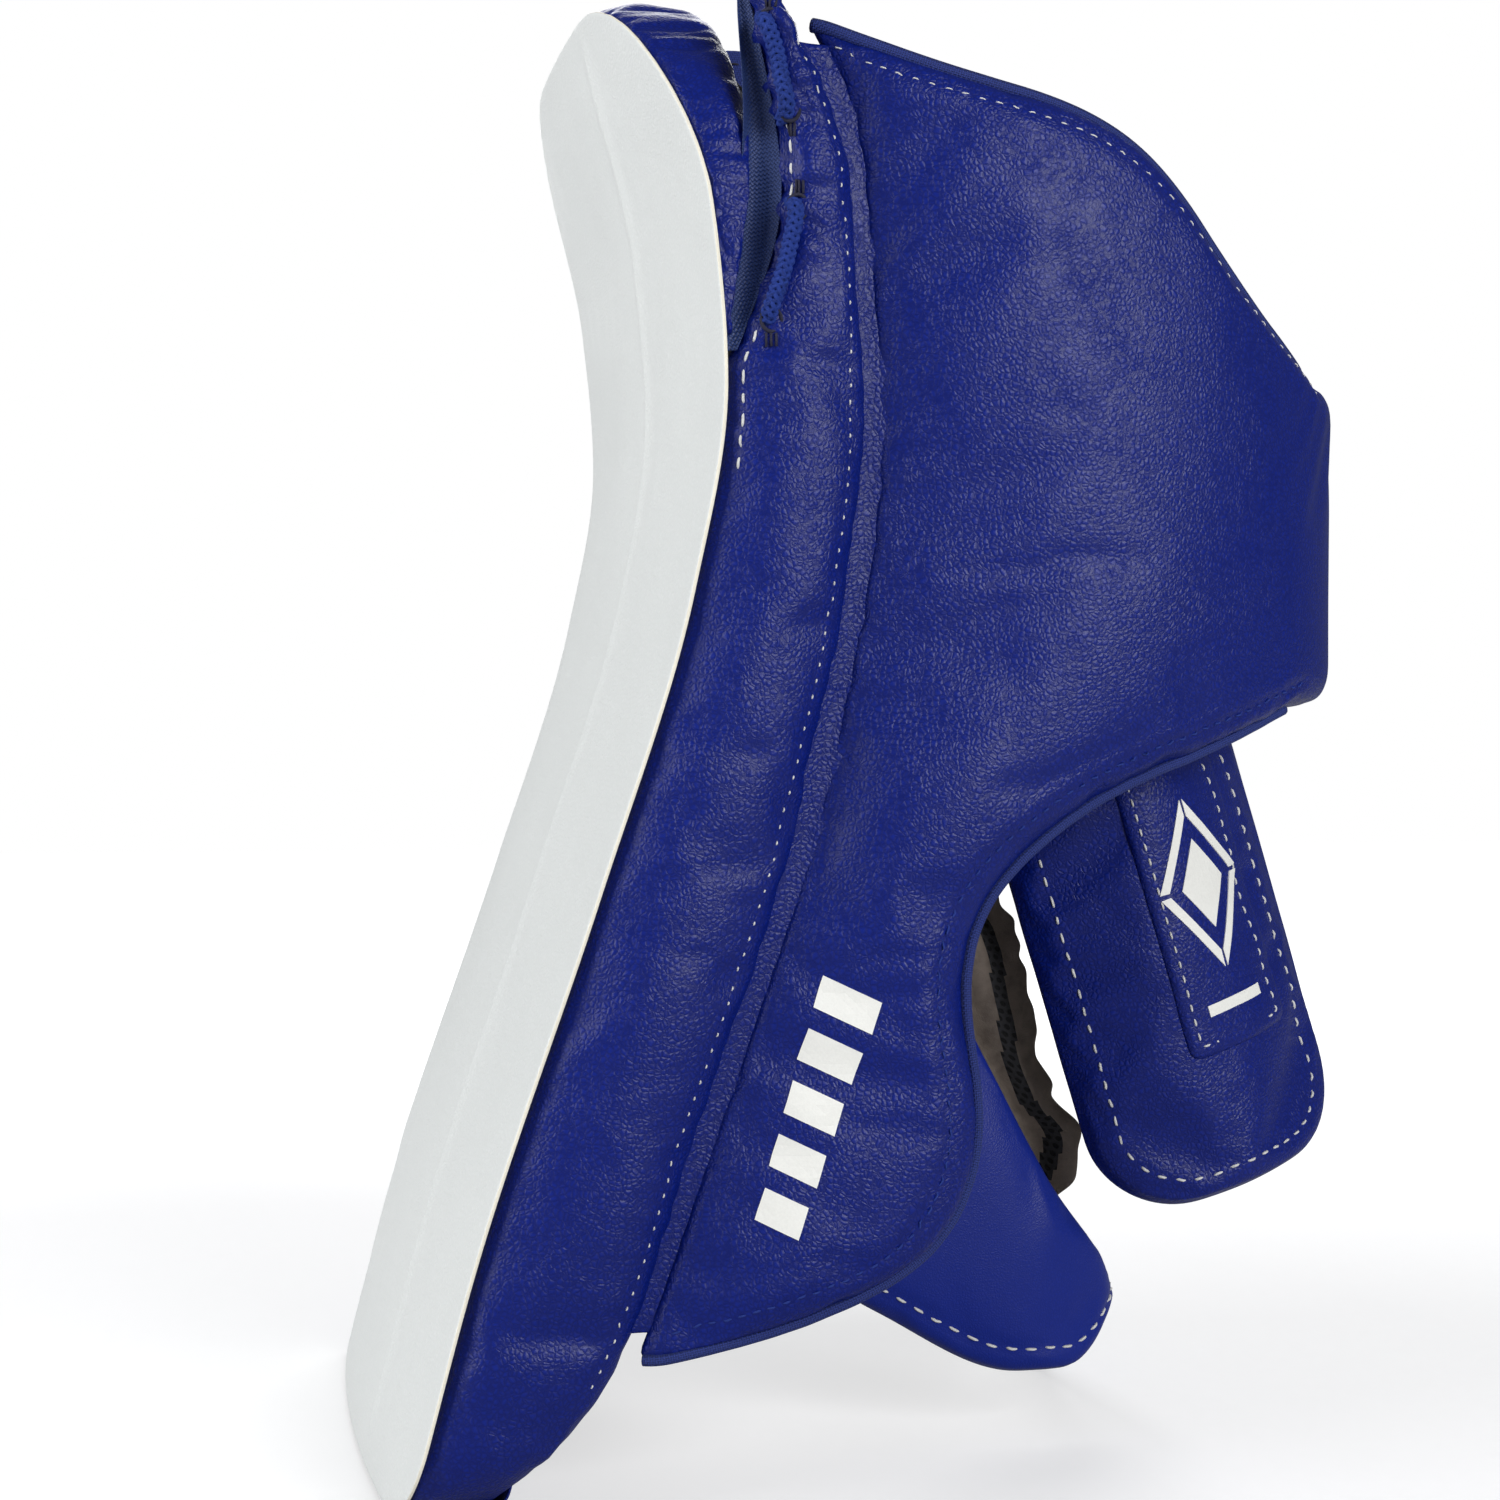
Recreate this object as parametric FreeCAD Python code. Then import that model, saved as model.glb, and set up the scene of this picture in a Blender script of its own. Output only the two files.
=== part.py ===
"""Ice-hockey goalkeeper's blocker, standing on its finger end.

X runs from the board's face towards the palm, Y across the board with the thumb side
at -Y, Z up towards the cuff.  The origin is on the flat finger end, at mid width.
One STEP file is written for each separate piece.
"""
import FreeCAD
import Part
import math
import os

V = FreeCAD.Vector

# ---- driving dimensions, in millimetres --------------------------------------------
BOARD_WIDTH = 203.0          # a senior board is 8 inches wide
BOARD_TOP = 375.0            # height of the cuff end when the blocker stands
FINGER_CORNER_R = 20.0       # rounded corners of the board
CUFF_CORNER_R = 65.0
CROWN = 5.0                  # how far the middle of the face stands proud of its edges
FACE_LINE = [(-12, -3.6), (0, 0), (66, 18), (148, 46), (222, 69), (272, 77),
             (315, 73.5), (362, 60.5), (390, 51)]        # (z, x) along the face's edge
GAP = 0.15                   # clearance between neighbouring layers

COVER = 1.2                  # leather thickness
FACE_FOAM = 9.6
STIFFENER = 2.0
BACK_FOAM = 10.0
LINING = 1.2
SIDE_WALL = 9.3              # thickness of the side rolls beside the board's core

ROLL_BACK = [(0, 16), (19, 39), (36, 51.5), (93, 72), (174, 98), (262, 112),
             (322, 108), (363, 93), (372, 88)]           # (z, x) of the roll's rear seam
ROLL_BULGE = 4.5
ROLL_LOW, ROLL_TOP = 5.0, 370.0
GUSSET_LOW, GUSSET_TOP = 288.0, 366.0
GUSSET_WIDTH = [(276, 0), (315, 15.6), (358, 21.0), (376, 22)]    # the roll leaves the rim by this
EDGE_BAND = [(284, 1.6), (372, 24.4)]                    # (z, depth) of the padded rim

SEAM_GAP = 1.6               # between the roll and the hinged side shield
SHIELD_FOAM = 8.0
SHIELD_PLATE = 1.5
SHIELD_LINER = 1.0
SHIELD_B = 58.0              # half depth, across the board, of the shield's curve
SHIELD_Y = -52.0             # where the shield is furthest from the board
SHIELD_BOTTOM, SHIELD_TOP = 30.0, 370.0
BAND_LOW, BAND_HIGH = 200.0, 278.0                       # the part that wraps the wrist
BAND_END_ANGLE = 215.0

HAND_BASE = 22.8             # from the face to the edges of the palm's curve
PALM_DEPTH, PALM_HALF = 82.0, 49.0
PALM_LOW, PALM_TOP = 154.0, 366.0
SUEDE = 1.8

KNUCKLE = V(132, 0, 150)     # where the fingers bend
STALL_Y = {"index_stall": -28.0, "middle_stall": -5.5, "ring_stall": 17.0, "little_stall": 39.5}
STALL_HALF_WIDTH, STALL_HALF_DEPTH = 10.8, 12.5
STALL_LENGTH = {"index_stall": 0.97, "middle_stall": 1.0, "ring_stall": 0.97, "little_stall": 0.9}

GUARD_Y = -49.0              # outer face of the finger guard's side wall
GUARD_START, GUARD_FRONT = 84.0, 205.0
GUARD_CORNER_R, GUARD_END_Y = 30.0, 52.0
GUARD_HIGH = [(0, 78), (22, 116), (60, 128), (75, 102), (96, 65), (114, 48), (128, 38),
              (145, 42), (210, 46)]                      # (distance along the wall, z)
GUARD_LOW = [(0, 66), (20, 52), (46, 35), (86, 17), (100, 17), (128, 29), (142, 26), (177, 8),
             (194, 0), (210, 0)]                         # it rests on its far end
GUARD_FOAM = 5.5

THUMB_BASE = V(184.5, -72, 211.5)
THUMB_LEAN = math.radians(17.0)
THUMB_HALF, THUMB_LENGTH, THUMB_CORNER_R = 38.0, 148.0, 22.0
THUMB_CURL = 0.0117          # how fast the flap curls towards the palm
THUMB_STALL_W = 12.0         # across the flap, where the stall comes nearest to it
THUMB_FOAM, THUMB_PLATE = 7.6, 1.2
STALL_R = 13.0

STRAP_LOW, STRAP_HIGH = 236.0, 262.0
STRAP_ARC = (-62.0, 74.0)    # degrees round the palm
LACES = [(338.0, 357.0), (289.0, 313.0)]                 # lower and upper end of each length
LACE_R = 1.6


# ---- helpers -----------------------------------------------------------------------
def smooth(knots, x):
    """Value at x of a smooth curve through (x, value) knots, with no overshoot."""
    if x <= knots[0][0]:
        return knots[0][1]
    if x >= knots[-1][0]:
        return knots[-1][1]
    slopes = [(b[1] - a[1]) / (b[0] - a[0]) for a, b in zip(knots, knots[1:])]
    tangents = [slopes[0]]
    for s, t in zip(slopes, slopes[1:]):
        tangents.append(0.0 if s * t <= 0 else 2 * s * t / (s + t))
    tangents.append(slopes[-1])
    i = max(k for k in range(len(slopes)) if knots[k][0] <= x)
    width = knots[i + 1][0] - knots[i][0]
    t = (x - knots[i][0]) / width
    return ((2 * t**3 - 3 * t**2 + 1) * knots[i][1] + (t**3 - 2 * t**2 + t) * width * tangents[i]
            + (3 * t**2 - 2 * t**3) * knots[i + 1][1] + (t**3 - t**2) * width * tangents[i + 1])


def spread(start, end, count):
    return [start + (end - start) * k / (count - 1) for k in range(count)]


def surface(grid):
    made = Part.BSplineSurface()
    made.interpolate(grid)
    return made


def panel(outer, inner, us, vs):
    """Closed solid between two surfaces, each a function of (u, v)."""
    pair = [surface([[fn(u, v) for v in vs] for u in us]) for fn in (outer, inner)]
    borders = []
    for s in pair:
        u0, u1, v0, v1 = s.bounds()
        borders.append([s.uIso(u0), s.uIso(u1), s.vIso(v0), s.vIso(v1)])
    faces = [s.toShape() for s in pair]
    faces += [Part.makeRuledSurface(a.toShape(), b.toShape()) for a, b in zip(*borders)]
    shell = Part.makeShell(faces)
    shell.sewShape()
    solid = Part.makeSolid(shell)
    if solid.Volume < 0:
        solid.reverse()
    return solid


def layer(fn, us, vs, near, far):
    """Closed solid between two depths below fn(u, v, depth)."""
    return panel(lambda u, v: fn(u, v, near), lambda u, v: fn(u, v, far), us, vs)


def side_prism(edges, y0, y1):
    """Extrudes an outline drawn in the XZ plane from y0 to y1."""
    face = Part.Face(Part.Wire(edges))
    face.translate(V(0, y0, 0))
    return face.extrude(V(0, y1 - y0, 0))


def curve_edge(points):
    made = Part.BSplineCurve()
    made.interpolate(points)
    return made.toShape()


def mirrored(shape):
    return shape.mirror(V(0, 0, 0), V(0, 1, 0))


def loft(centres, across, sizes):
    """Tube through ellipses whose centres and depth directions lie in XZ planes.

    Each size is (half width along Y, half depth along the ellipse's own direction).
    """
    wires = []
    for centre, along, (half_y, half_depth) in zip(centres, across, sizes):
        if abs(half_y - half_depth) < 0.01:
            section = Part.Circle(centre, along.cross(V(0, 1, 0)), half_y)
        elif half_depth > half_y:
            section = Part.Ellipse(centre + along * half_depth, centre + V(0, half_y, 0), centre)
        else:
            section = Part.Ellipse(centre + V(0, half_y, 0), centre + along * half_depth, centre)
        wires.append(Part.Wire(section.toShape()))
    return Part.makeLoft(wires, True, False)


# ---- the board ---------------------------------------------------------------------
def face_x(z):
    if z < FACE_LINE[0][0]:
        return FACE_LINE[0][1]
    return smooth(FACE_LINE, z)


def board_normal(z):
    slope = (face_x(z + 1) - face_x(z - 1)) / 2
    return V(1, 0, -slope).normalize()


def board_point(z, y, depth):
    """Point below the face: z and y place it on the face, depth is measured towards the palm."""
    crown = CROWN * (1 - (2 * y / BOARD_WIDTH) ** 2)
    return V(face_x(z), y, z) + board_normal(z) * (depth - crown)


def board_outline(inset):
    """Prism through the board with its rounded ends, drawn in the YZ plane."""
    half, top = BOARD_WIDTH / 2 - inset, BOARD_TOP - inset
    low_r, high_r = FINGER_CORNER_R - inset * 0.5, CUFF_CORNER_R - inset
    corners = [(-half, 0, low_r, 225), (half, 0, low_r, 315), (half, top, high_r, 45),
               (-half, top, high_r, 135)]
    edges, last = [], None
    for y, z, radius, middle in corners:
        cy = y - math.copysign(radius, y)
        cz = z + radius if z == 0 else z - radius
        arc = [V(-80, cy + radius * math.cos(math.radians(a)), cz + radius * math.sin(math.radians(a)))
               for a in (middle - 45, middle, middle + 45)]
        if last is not None:
            edges.append(Part.makeLine(last, arc[0]))
        edges.append(Part.Arc(*arc).toShape())
        last = arc[2]
    edges.append(Part.makeLine(last, edges[0].valueAt(edges[0].FirstParameter)))
    return Part.Face(Part.Wire(edges)).extrude(V(260, 0, 0))


BOARD_ROWS = spread(-12, 384, 45)
BOARD_COLUMNS = spread(-BOARD_WIDTH / 2 - 1, BOARD_WIDTH / 2 + 1, 9)


def board_layer(near, far, inset, columns=BOARD_COLUMNS):
    return layer(board_point, BOARD_ROWS, columns, near, far).common(board_outline(inset))


def board_pieces():
    core = SIDE_WALL + GAP
    depths = [("face_foam", FACE_FOAM), ("stiffener_plate", STIFFENER),
              ("back_foam", BACK_FOAM), ("board_lining", LINING)]
    pieces = {"face_cover": board_layer(0, COVER, 0)}
    depth = COVER
    for name, thickness in depths:
        pieces[name] = board_layer(depth + GAP, depth + thickness, core)
        depth += thickness
    return pieces


def edge_band():
    """Padded leather rim round the cuff end, which thins away down both sides."""
    def front(z, y):
        return board_point(z, y, COVER + 2 * GAP)

    def back(z, y):
        return board_point(z, y, smooth(EDGE_BAND, z))

    rows = spread(EDGE_BAND[0][0], 384, 12)
    ring = board_outline(0).cut(board_outline(SIDE_WALL))
    return panel(front, back, rows, BOARD_COLUMNS).common(ring)


# ---- side rolls, gussets and laces ---------------------------------------------------
def roll_front(z):
    lean = abs(board_normal(z).z)
    behind_cover = (COVER + GAP) * (1 + lean) + 0.3
    return face_x(z) + behind_cover + smooth(GUSSET_WIDTH, z)


def corner_inset(z):
    """How far the board's rounded finger corner draws its side in."""
    drop = max(0.0, FINGER_CORNER_R - z)
    return FINGER_CORNER_R - math.sqrt(FINGER_CORNER_R**2 - drop**2)


def roll_outer_y(z, w):
    bulge = ROLL_BULGE * 4 * w * (1 - w) + 1.5 * w
    return corner_inset(z) - BOARD_WIDTH / 2 - bulge * min(1.0, z / 40)


def roll_point(z, w, depth):
    x = roll_front(z) + (smooth(ROLL_BACK, z) - roll_front(z)) * w
    return V(x, roll_outer_y(z, w) + depth, z)


def roll_inner(z, w):
    point = roll_point(z, w, 0)
    return V(point.x, -(BOARD_WIDTH / 2 - SIDE_WALL), z)


def roll_pieces():
    rows, columns = spread(ROLL_LOW, ROLL_TOP, 28), spread(0, 1, 9)
    cover = layer(roll_point, rows, columns, 0, COVER)
    foam = panel(lambda z, w: roll_point(z, w, COVER + GAP), roll_inner, rows, columns)
    return {"side_roll_cover": cover, "side_roll_foam": foam}


def gusset():
    """Woven wedge that joins the board's rim to the roll above the point where they part."""
    def outer(z, w):
        start = board_point(z, -BOARD_WIDTH / 2, smooth(EDGE_BAND, z) + 0.4).x
        end = roll_front(z) - 0.4
        return V(start + (end - start) * w, -BOARD_WIDTH / 2 + 3.5, z)

    def inner(z, w):
        return outer(z, w) + V(0, 0.8, 0)

    return panel(outer, inner, spread(GUSSET_LOW, GUSSET_TOP, 9), spread(0, 1, 3))


def lace():
    """Two short lengths of lace that lie on the roll between their holes."""
    lengths = []
    for low, high in LACES:
        ends = [roll_point(z, 0.12, -LACE_R - 6 * GAP) for z in (low, high)]
        middle = (ends[0] + ends[1]) * 0.5 + V(0, -0.8, 0)
        path = Part.Wire(Part.Arc(ends[0], middle, ends[1]).toShape())
        start = path.Edges[0]
        tangent = start.tangentAt(start.FirstParameter)
        section = Part.Wire(Part.makeCircle(LACE_R, ends[0], tangent))
        lengths.append(path.makePipeShell([section], True, False))
    return Part.makeCompound(lengths)


# ---- the glove -----------------------------------------------------------------------
def palm_point(z, angle, depth):
    a = math.radians(angle)
    x = face_x(z) + HAND_BASE + (PALM_DEPTH - depth) * math.cos(a)
    return V(x, (PALM_HALF - depth) * math.sin(a), z)


def glove_pieces():
    rows, turns = spread(PALM_LOW, PALM_TOP, 22), spread(-88, 88, 17)
    stack = COVER + FACE_FOAM + STIFFENER + BACK_FOAM + LINING
    pad = layer(board_point, spread(128, 340, 25), spread(-37, 37, 5), stack + 4 * GAP, stack + 26)
    collar_rows = spread(PALM_TOP - 22, PALM_TOP, 6)
    patch_turns, patch_rows = spread(-66, -40, 6), spread(STRAP_LOW, STRAP_HIGH, 4)
    web_rows, web_turns = spread(178, 208, 5), spread(-58, -30, 5)
    return {
        "palm_panel": layer(palm_point, rows, turns, 0, SUEDE),
        "hand_back_pad": pad,
        "cuff_binding": layer(palm_point, collar_rows, turns, -3.2, -3 * GAP),
        "strap_loop_patch": layer(palm_point, patch_rows, patch_turns, -1.4, -2 * GAP),
        "thumb_web": layer(palm_point, web_rows, web_turns, -2.4, -2 * GAP),
    }


STALL_PATH = [(132, 146, 20), (138, 128, 24), (146, 110, 28), (156, 92, 33), (166, 76, 36),
              (170, 70, 36), (173.5, 64.5, 36)]          # x, z and slope of the finger's line


def stall(name):
    """Open finger tube with a rounded closed tip."""
    def tube(wall, extra):
        centres, across, sizes = [], [], []
        length = STALL_LENGTH[name]
        for k, (x, z, slope) in enumerate(STALL_PATH):
            a = math.radians(slope)
            x, z = KNUCKLE.x + (x - KNUCKLE.x) * length, KNUCKLE.z + (z - KNUCKLE.z) * length
            shrink = (1.0, 1.0, 0.98, 0.95, 0.88, 0.72, 0.42)[k]
            back = wall * 1.2 if k == len(STALL_PATH) - 1 else 0
            centres.append(V(x - math.sin(a) * back, STALL_Y[name], z + math.cos(a) * back))
            across.append(V(math.cos(a), 0, math.sin(a)))
            sizes.append(((STALL_HALF_WIDTH - wall) * shrink, (STALL_HALF_DEPTH - wall) * shrink))
        if extra:
            a = math.radians(STALL_PATH[0][2])
            centres.insert(0, centres[0] + V(-math.sin(a), 0, math.cos(a)) * extra)
            across.insert(0, across[0])
            sizes.insert(0, sizes[0])
        return loft(centres, across, sizes)

    return tube(0, 0).cut(tube(SUEDE, 6))


# ---- the finger guard ----------------------------------------------------------------
def guard_plan(u, depth):
    """Plan of the guard's wall: side, rounded corner, then front; depth goes inwards."""
    side = GUARD_FRONT - GUARD_CORNER_R - GUARD_START
    turn = GUARD_CORNER_R * math.pi / 2
    if u <= side:
        return GUARD_START + u, GUARD_Y + depth
    centre = (GUARD_FRONT - GUARD_CORNER_R, GUARD_Y + GUARD_CORNER_R)
    if u <= side + turn:
        a = (u - side) / GUARD_CORNER_R
        r = GUARD_CORNER_R - depth
        return centre[0] + r * math.sin(a), centre[1] - r * math.cos(a)
    return GUARD_FRONT - depth, centre[1] + (u - side - turn)


def guard_pieces():
    end = (GUARD_FRONT - GUARD_CORNER_R - GUARD_START + GUARD_CORNER_R * math.pi / 2
           + GUARD_END_Y - GUARD_Y - GUARD_CORNER_R)

    def point(u, v, depth):
        x, y = guard_plan(u, depth)
        low, high = smooth(GUARD_LOW, u), smooth(GUARD_HIGH, u)
        return V(x, y, low + (high - low) * v)

    us, vs = spread(0, end, 36), spread(0, 1, 5)
    foam_end = COVER + GUARD_FOAM
    return {
        "finger_guard_cover": layer(point, us, vs, 0, COVER),
        "finger_guard_foam": layer(point, us, vs, COVER + GAP, foam_end),
        "finger_guard_liner": layer(point, us, vs, foam_end + GAP, foam_end + 1.1),
    }


# ---- the side shield -----------------------------------------------------------------
def shield_shape(z):
    """Centre x and half width of the shield's curve at a height."""
    t = min(1.0, max(0.0, (z - 35) / 200))
    grow = 1 - (1 - t) ** 1.6
    return 95 + 55 * grow, 150 - 46 * grow


def shield_point(z, angle, depth):
    centre, half = shield_shape(z)
    a = math.radians(angle)
    x = centre - (half - depth) * math.cos(a)
    return V(x, SHIELD_Y - (SHIELD_B - depth) * math.sin(a), z)


def shield_outline():
    """Side view of the shield: wing at the cuff, lobe beside the fingers."""
    top = [V(95, 0, 362), V(136, 0, 347.5), V(184, 0, 331.5), V(212, 0, 306), V(244, 0, 281)]
    low = [V(236, 0, 195), V(200, 0, 182), V(160, 0, 164), V(140, 0, 142), V(138, 0, 118),
           V(141, 0, 90), V(132, 0, 66), V(108, 0, 51), V(53.5, 0, 37)]
    seam = [V(smooth(ROLL_BACK, z) + SEAM_GAP, 0, z) for z in spread(37, 362, 12)]
    seam[0], top[0] = low[-1], seam[-1]
    tip = [top[-1], V(266, 0, BAND_HIGH), V(266, 0, BAND_LOW), low[0]]
    edges = [curve_edge(top)] + [Part.makeLine(a, b) for a, b in zip(tip, tip[1:])]
    return edges + [curve_edge(low), curve_edge(seam)]


def shield_pieces():
    rows, turns = spread(SHIELD_BOTTOM, SHIELD_TOP, 18), spread(42, BAND_END_ANGLE, 26)
    wing = side_prism(shield_outline(), -130, SHIELD_Y)
    band = Part.makeBox(120, 60, BAND_HIGH - BAND_LOW, V(150, SHIELD_Y - 0.01, BAND_LOW))
    form = wing.fuse(band)
    pieces, depth = {}, 0
    for name, thickness in (("cover", COVER), ("foam", SHIELD_FOAM), ("plate", SHIELD_PLATE),
                            ("liner", SHIELD_LINER)):
        whole = layer(shield_point, rows, turns, depth + (GAP if depth else 0), depth + thickness)
        pieces["shield_" + name] = whole.common(form)
        depth += thickness
    return pieces


# ---- the thumb -----------------------------------------------------------------------
def thumb_point(s, w, depth):
    """s runs down the thumb, w across it, depth from the outside inwards."""
    down = V(math.sin(THUMB_LEAN), 0, -math.cos(THUMB_LEAN))
    across = V(math.cos(THUMB_LEAN), 0, math.sin(THUMB_LEAN))
    curl = THUMB_CURL * (w + 10) ** 2
    return THUMB_BASE + down * s + across * w + V(0, curl + depth, 0)


def thumb_outline(half, start, end, radius):
    """Rounded end at the tip, square end under the wing."""
    def at(s, w):
        p = thumb_point(s, w, 0)
        return V(p.x, 0, p.z)

    k = radius * (1 - math.sqrt(0.5))
    left = Part.Arc(at(end - radius, -half), at(end - k, -half + k), at(end, -half + radius))
    right = Part.Arc(at(end, half - radius), at(end - k, half - k), at(end - radius, half))
    return [Part.makeLine(at(start, -half), at(end - radius, -half)), left.toShape(),
            Part.makeLine(at(end, -half + radius), at(end, half - radius)), right.toShape(),
            Part.makeLine(at(end - radius, half), at(start, half)),
            Part.makeLine(at(start, half), at(start, -half))]


def thumb_pieces():
    ss, ws = spread(-8, THUMB_LENGTH + 6, 6), spread(-THUMB_HALF - 3, THUMB_HALF + 3, 11)
    form = side_prism(thumb_outline(THUMB_HALF, -4, THUMB_LENGTH, THUMB_CORNER_R), -130, 20)
    pieces, depth = {}, 0
    for name, thickness in (("cover", COVER), ("foam", THUMB_FOAM), ("plate", THUMB_PLATE),
                            ("liner", COVER)):
        whole = layer(thumb_point, ss, ws, depth + (GAP if depth else 0), depth + thickness)
        pieces["thumb_" + name] = whole.common(form)
        depth += thickness
    patch = layer(thumb_point, spread(22, 112, 6), spread(-9, 24.5, 7), -1.6, -GAP)
    pieces["thumb_patch"] = patch

    down = V(math.sin(THUMB_LEAN), 0, -math.cos(THUMB_LEAN))
    across = V(math.cos(THUMB_LEAN), 0, math.sin(THUMB_LEAN))
    centre = thumb_point(0, -5, depth + STALL_R + GAP)
    centre.y = thumb_point(0, THUMB_STALL_W, depth + STALL_R + GAP).y

    def tube(wall, start):
        stations = [(start, 1), (30, 1), (60, 0.98), (84, 0.92), (96, 0.78), (104 - wall, 0.45)]
        centres = [centre + down * s for s, _ in stations]
        sizes = [((STALL_R - wall) * k, (STALL_R - wall) * k) for _, k in stations]
        return loft(centres, [across] * len(stations), sizes)

    pieces["thumb_stall"] = tube(0, 2).cut(tube(SUEDE, -8))
    return pieces


# ---- the wrist strap -----------------------------------------------------------------
def strap_pieces():
    rows, turns = spread(STRAP_LOW, STRAP_HIGH, 4), spread(STRAP_ARC[0], STRAP_ARC[1], 13)
    pad_turns = spread(STRAP_ARC[0] + 2, STRAP_ARC[0] + 20, 5)
    pad_rows = spread(STRAP_LOW + 2, STRAP_HIGH - 2, 4)
    return {
        "wrist_strap": layer(palm_point, rows, turns, -4.6, -3.0),
        "strap_hook_pad": layer(palm_point, pad_rows, pad_turns, -2.85, -1.55),
    }


# ---- the assembly --------------------------------------------------------------------
def build():
    pieces = board_pieces()
    pieces["edge_band"] = edge_band()
    sided = roll_pieces()
    sided["gusset"] = gusset()
    sided["lace"] = lace()
    for name, shape in sided.items():
        pieces[name + "_near"] = shape
        pieces[name + "_far"] = mirrored(shape)
    for more in (glove_pieces(), guard_pieces(), shield_pieces(), thumb_pieces(), strap_pieces()):
        pieces.update(more)
    for name in STALL_Y:
        pieces[name] = stall(name)
    return pieces


os.makedirs("parts", exist_ok=True)
for name, shape in build().items():
    print(f"{name:22} valid {shape.isValid()}  solids {len(shape.Solids)}  {shape.Volume / 1000:8.2f} cm3")
    shape.exportStep("parts/" + name + ".step")
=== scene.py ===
"""Looks of the ice-hockey goalkeeper's blocker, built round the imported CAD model.

Places are worked out in millimetres in the CAD model's frame, and meshes are made in metres.
"""
import math

import bmesh
import bpy
import numpy as np
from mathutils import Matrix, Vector
from mathutils.bvhtree import BVHTree
from mathutils.geometry import delaunay_2d_cdt


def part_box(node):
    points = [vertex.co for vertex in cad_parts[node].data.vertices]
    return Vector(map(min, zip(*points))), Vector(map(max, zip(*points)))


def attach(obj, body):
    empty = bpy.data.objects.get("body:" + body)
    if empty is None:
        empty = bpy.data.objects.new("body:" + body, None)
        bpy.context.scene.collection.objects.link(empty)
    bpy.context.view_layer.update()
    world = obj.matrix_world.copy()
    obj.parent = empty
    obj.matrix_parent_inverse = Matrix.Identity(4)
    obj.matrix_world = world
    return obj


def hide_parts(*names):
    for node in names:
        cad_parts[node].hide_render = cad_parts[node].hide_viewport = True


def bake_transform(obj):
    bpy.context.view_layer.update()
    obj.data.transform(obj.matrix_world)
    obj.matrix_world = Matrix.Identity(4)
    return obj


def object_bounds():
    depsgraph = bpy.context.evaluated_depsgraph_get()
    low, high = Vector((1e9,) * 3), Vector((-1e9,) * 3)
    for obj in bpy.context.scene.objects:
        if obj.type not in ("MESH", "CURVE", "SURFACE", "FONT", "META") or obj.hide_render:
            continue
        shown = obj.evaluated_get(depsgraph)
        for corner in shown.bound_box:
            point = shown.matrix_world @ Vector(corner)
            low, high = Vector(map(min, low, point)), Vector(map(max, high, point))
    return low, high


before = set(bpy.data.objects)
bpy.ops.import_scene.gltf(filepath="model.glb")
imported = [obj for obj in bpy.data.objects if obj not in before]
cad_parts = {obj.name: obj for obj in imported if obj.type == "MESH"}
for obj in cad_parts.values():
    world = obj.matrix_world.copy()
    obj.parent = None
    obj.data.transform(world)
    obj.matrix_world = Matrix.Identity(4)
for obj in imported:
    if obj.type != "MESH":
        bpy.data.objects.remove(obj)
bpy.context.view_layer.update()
scene = bpy.context.scene
MM = 0.001
FRAMES = 20                    # length of the cloth simulation


def box(node):
    """Lowest and highest corner of a CAD node, in mm."""
    return [np.array(corner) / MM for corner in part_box(node)]


# ---- the CAD model's driving lines, in mm --------------------------------------------
HALF, TOP = box("face_cover")[1][1:]
FINGER_R, CUFF_R, CROWN = 20.0, 65.0, 5.0
FACE_LINE = [(-12, -3.6), (0, 0), (66, 18), (148, 46), (222, 69), (272, 77), (315, 73.5),
             (362, 60.5), (390, 51)]                     # (z, x) along the face's edge
COVER, GAP = 1.2, 0.15
CORE_BACK = 24.0                                         # depth of the board's back
SIDE_WALL = 9.3
ROLL_BACK = [(0, 16), (19, 39), (36, 51.5), (93, 72), (174, 98), (262, 112), (322, 108),
             (363, 93), (372, 88)]                       # (z, x) of the roll's rear seam
ROLL_LOW, ROLL_TOP = box("side_roll_cover_near")[0][2], box("side_roll_cover_near")[1][2]
ROLL_BULGE = 4.5
GUSSET_WIDTH = [(276, 0), (315, 15.6), (358, 21.0), (376, 22)]
EDGE_BAND = [(284, 1.6), (372, 24.4)]                    # (z, depth) of the padded rim
SHIELD_B, SHIELD_Y, SEAM_GAP = 58.0, -52.0, 1.6
SHIELD_DEEP = 10.6                                       # depth of the shield's padding
BAND_LOW, BAND_HIGH, BAND_END = 200.0, 278.0, 215.0
WING_TOP = [(136, 347.5), (184, 331.5), (212, 306), (244, 281)]
LOBE_LOW = [(108, 51), (132, 66), (141, 90), (138, 118), (140, 142), (160, 164), (200, 182),
            (236, 195)]
HAND_BASE, PALM_DEPTH, PALM_HALF = 22.8, 82.0, 49.0
PALM_LOW, PALM_TOP = box("palm_panel")[0][2], box("palm_panel")[1][2]
SUEDE = 1.8
KNUCKLE = (132.0, 150.0)
STALLS = {"index": (-28.0, 0.97), "middle": (-5.5, 1.0), "ring": (17.0, 0.97), "little": (39.5, 0.9)}
STALL_HALF_WIDTH, STALL_HALF_DEPTH = 10.8, 12.5
STALL_PATH = [(132, 146), (138, 128), (146, 110), (156, 92), (166, 76), (173.5, 64.5)]
GUARD_Y, GUARD_START, GUARD_FRONT = -49.0, 84.0, 205.0
GUARD_CORNER_R, GUARD_END_Y, GUARD_DEEP = 30.0, 52.0, 6.7
GUARD_HIGH = [(0, 78), (22, 116), (60, 128), (75, 102), (96, 65), (114, 48), (128, 38), (145, 42),
              (210, 46)]                                 # (distance along the wall, z)
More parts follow.
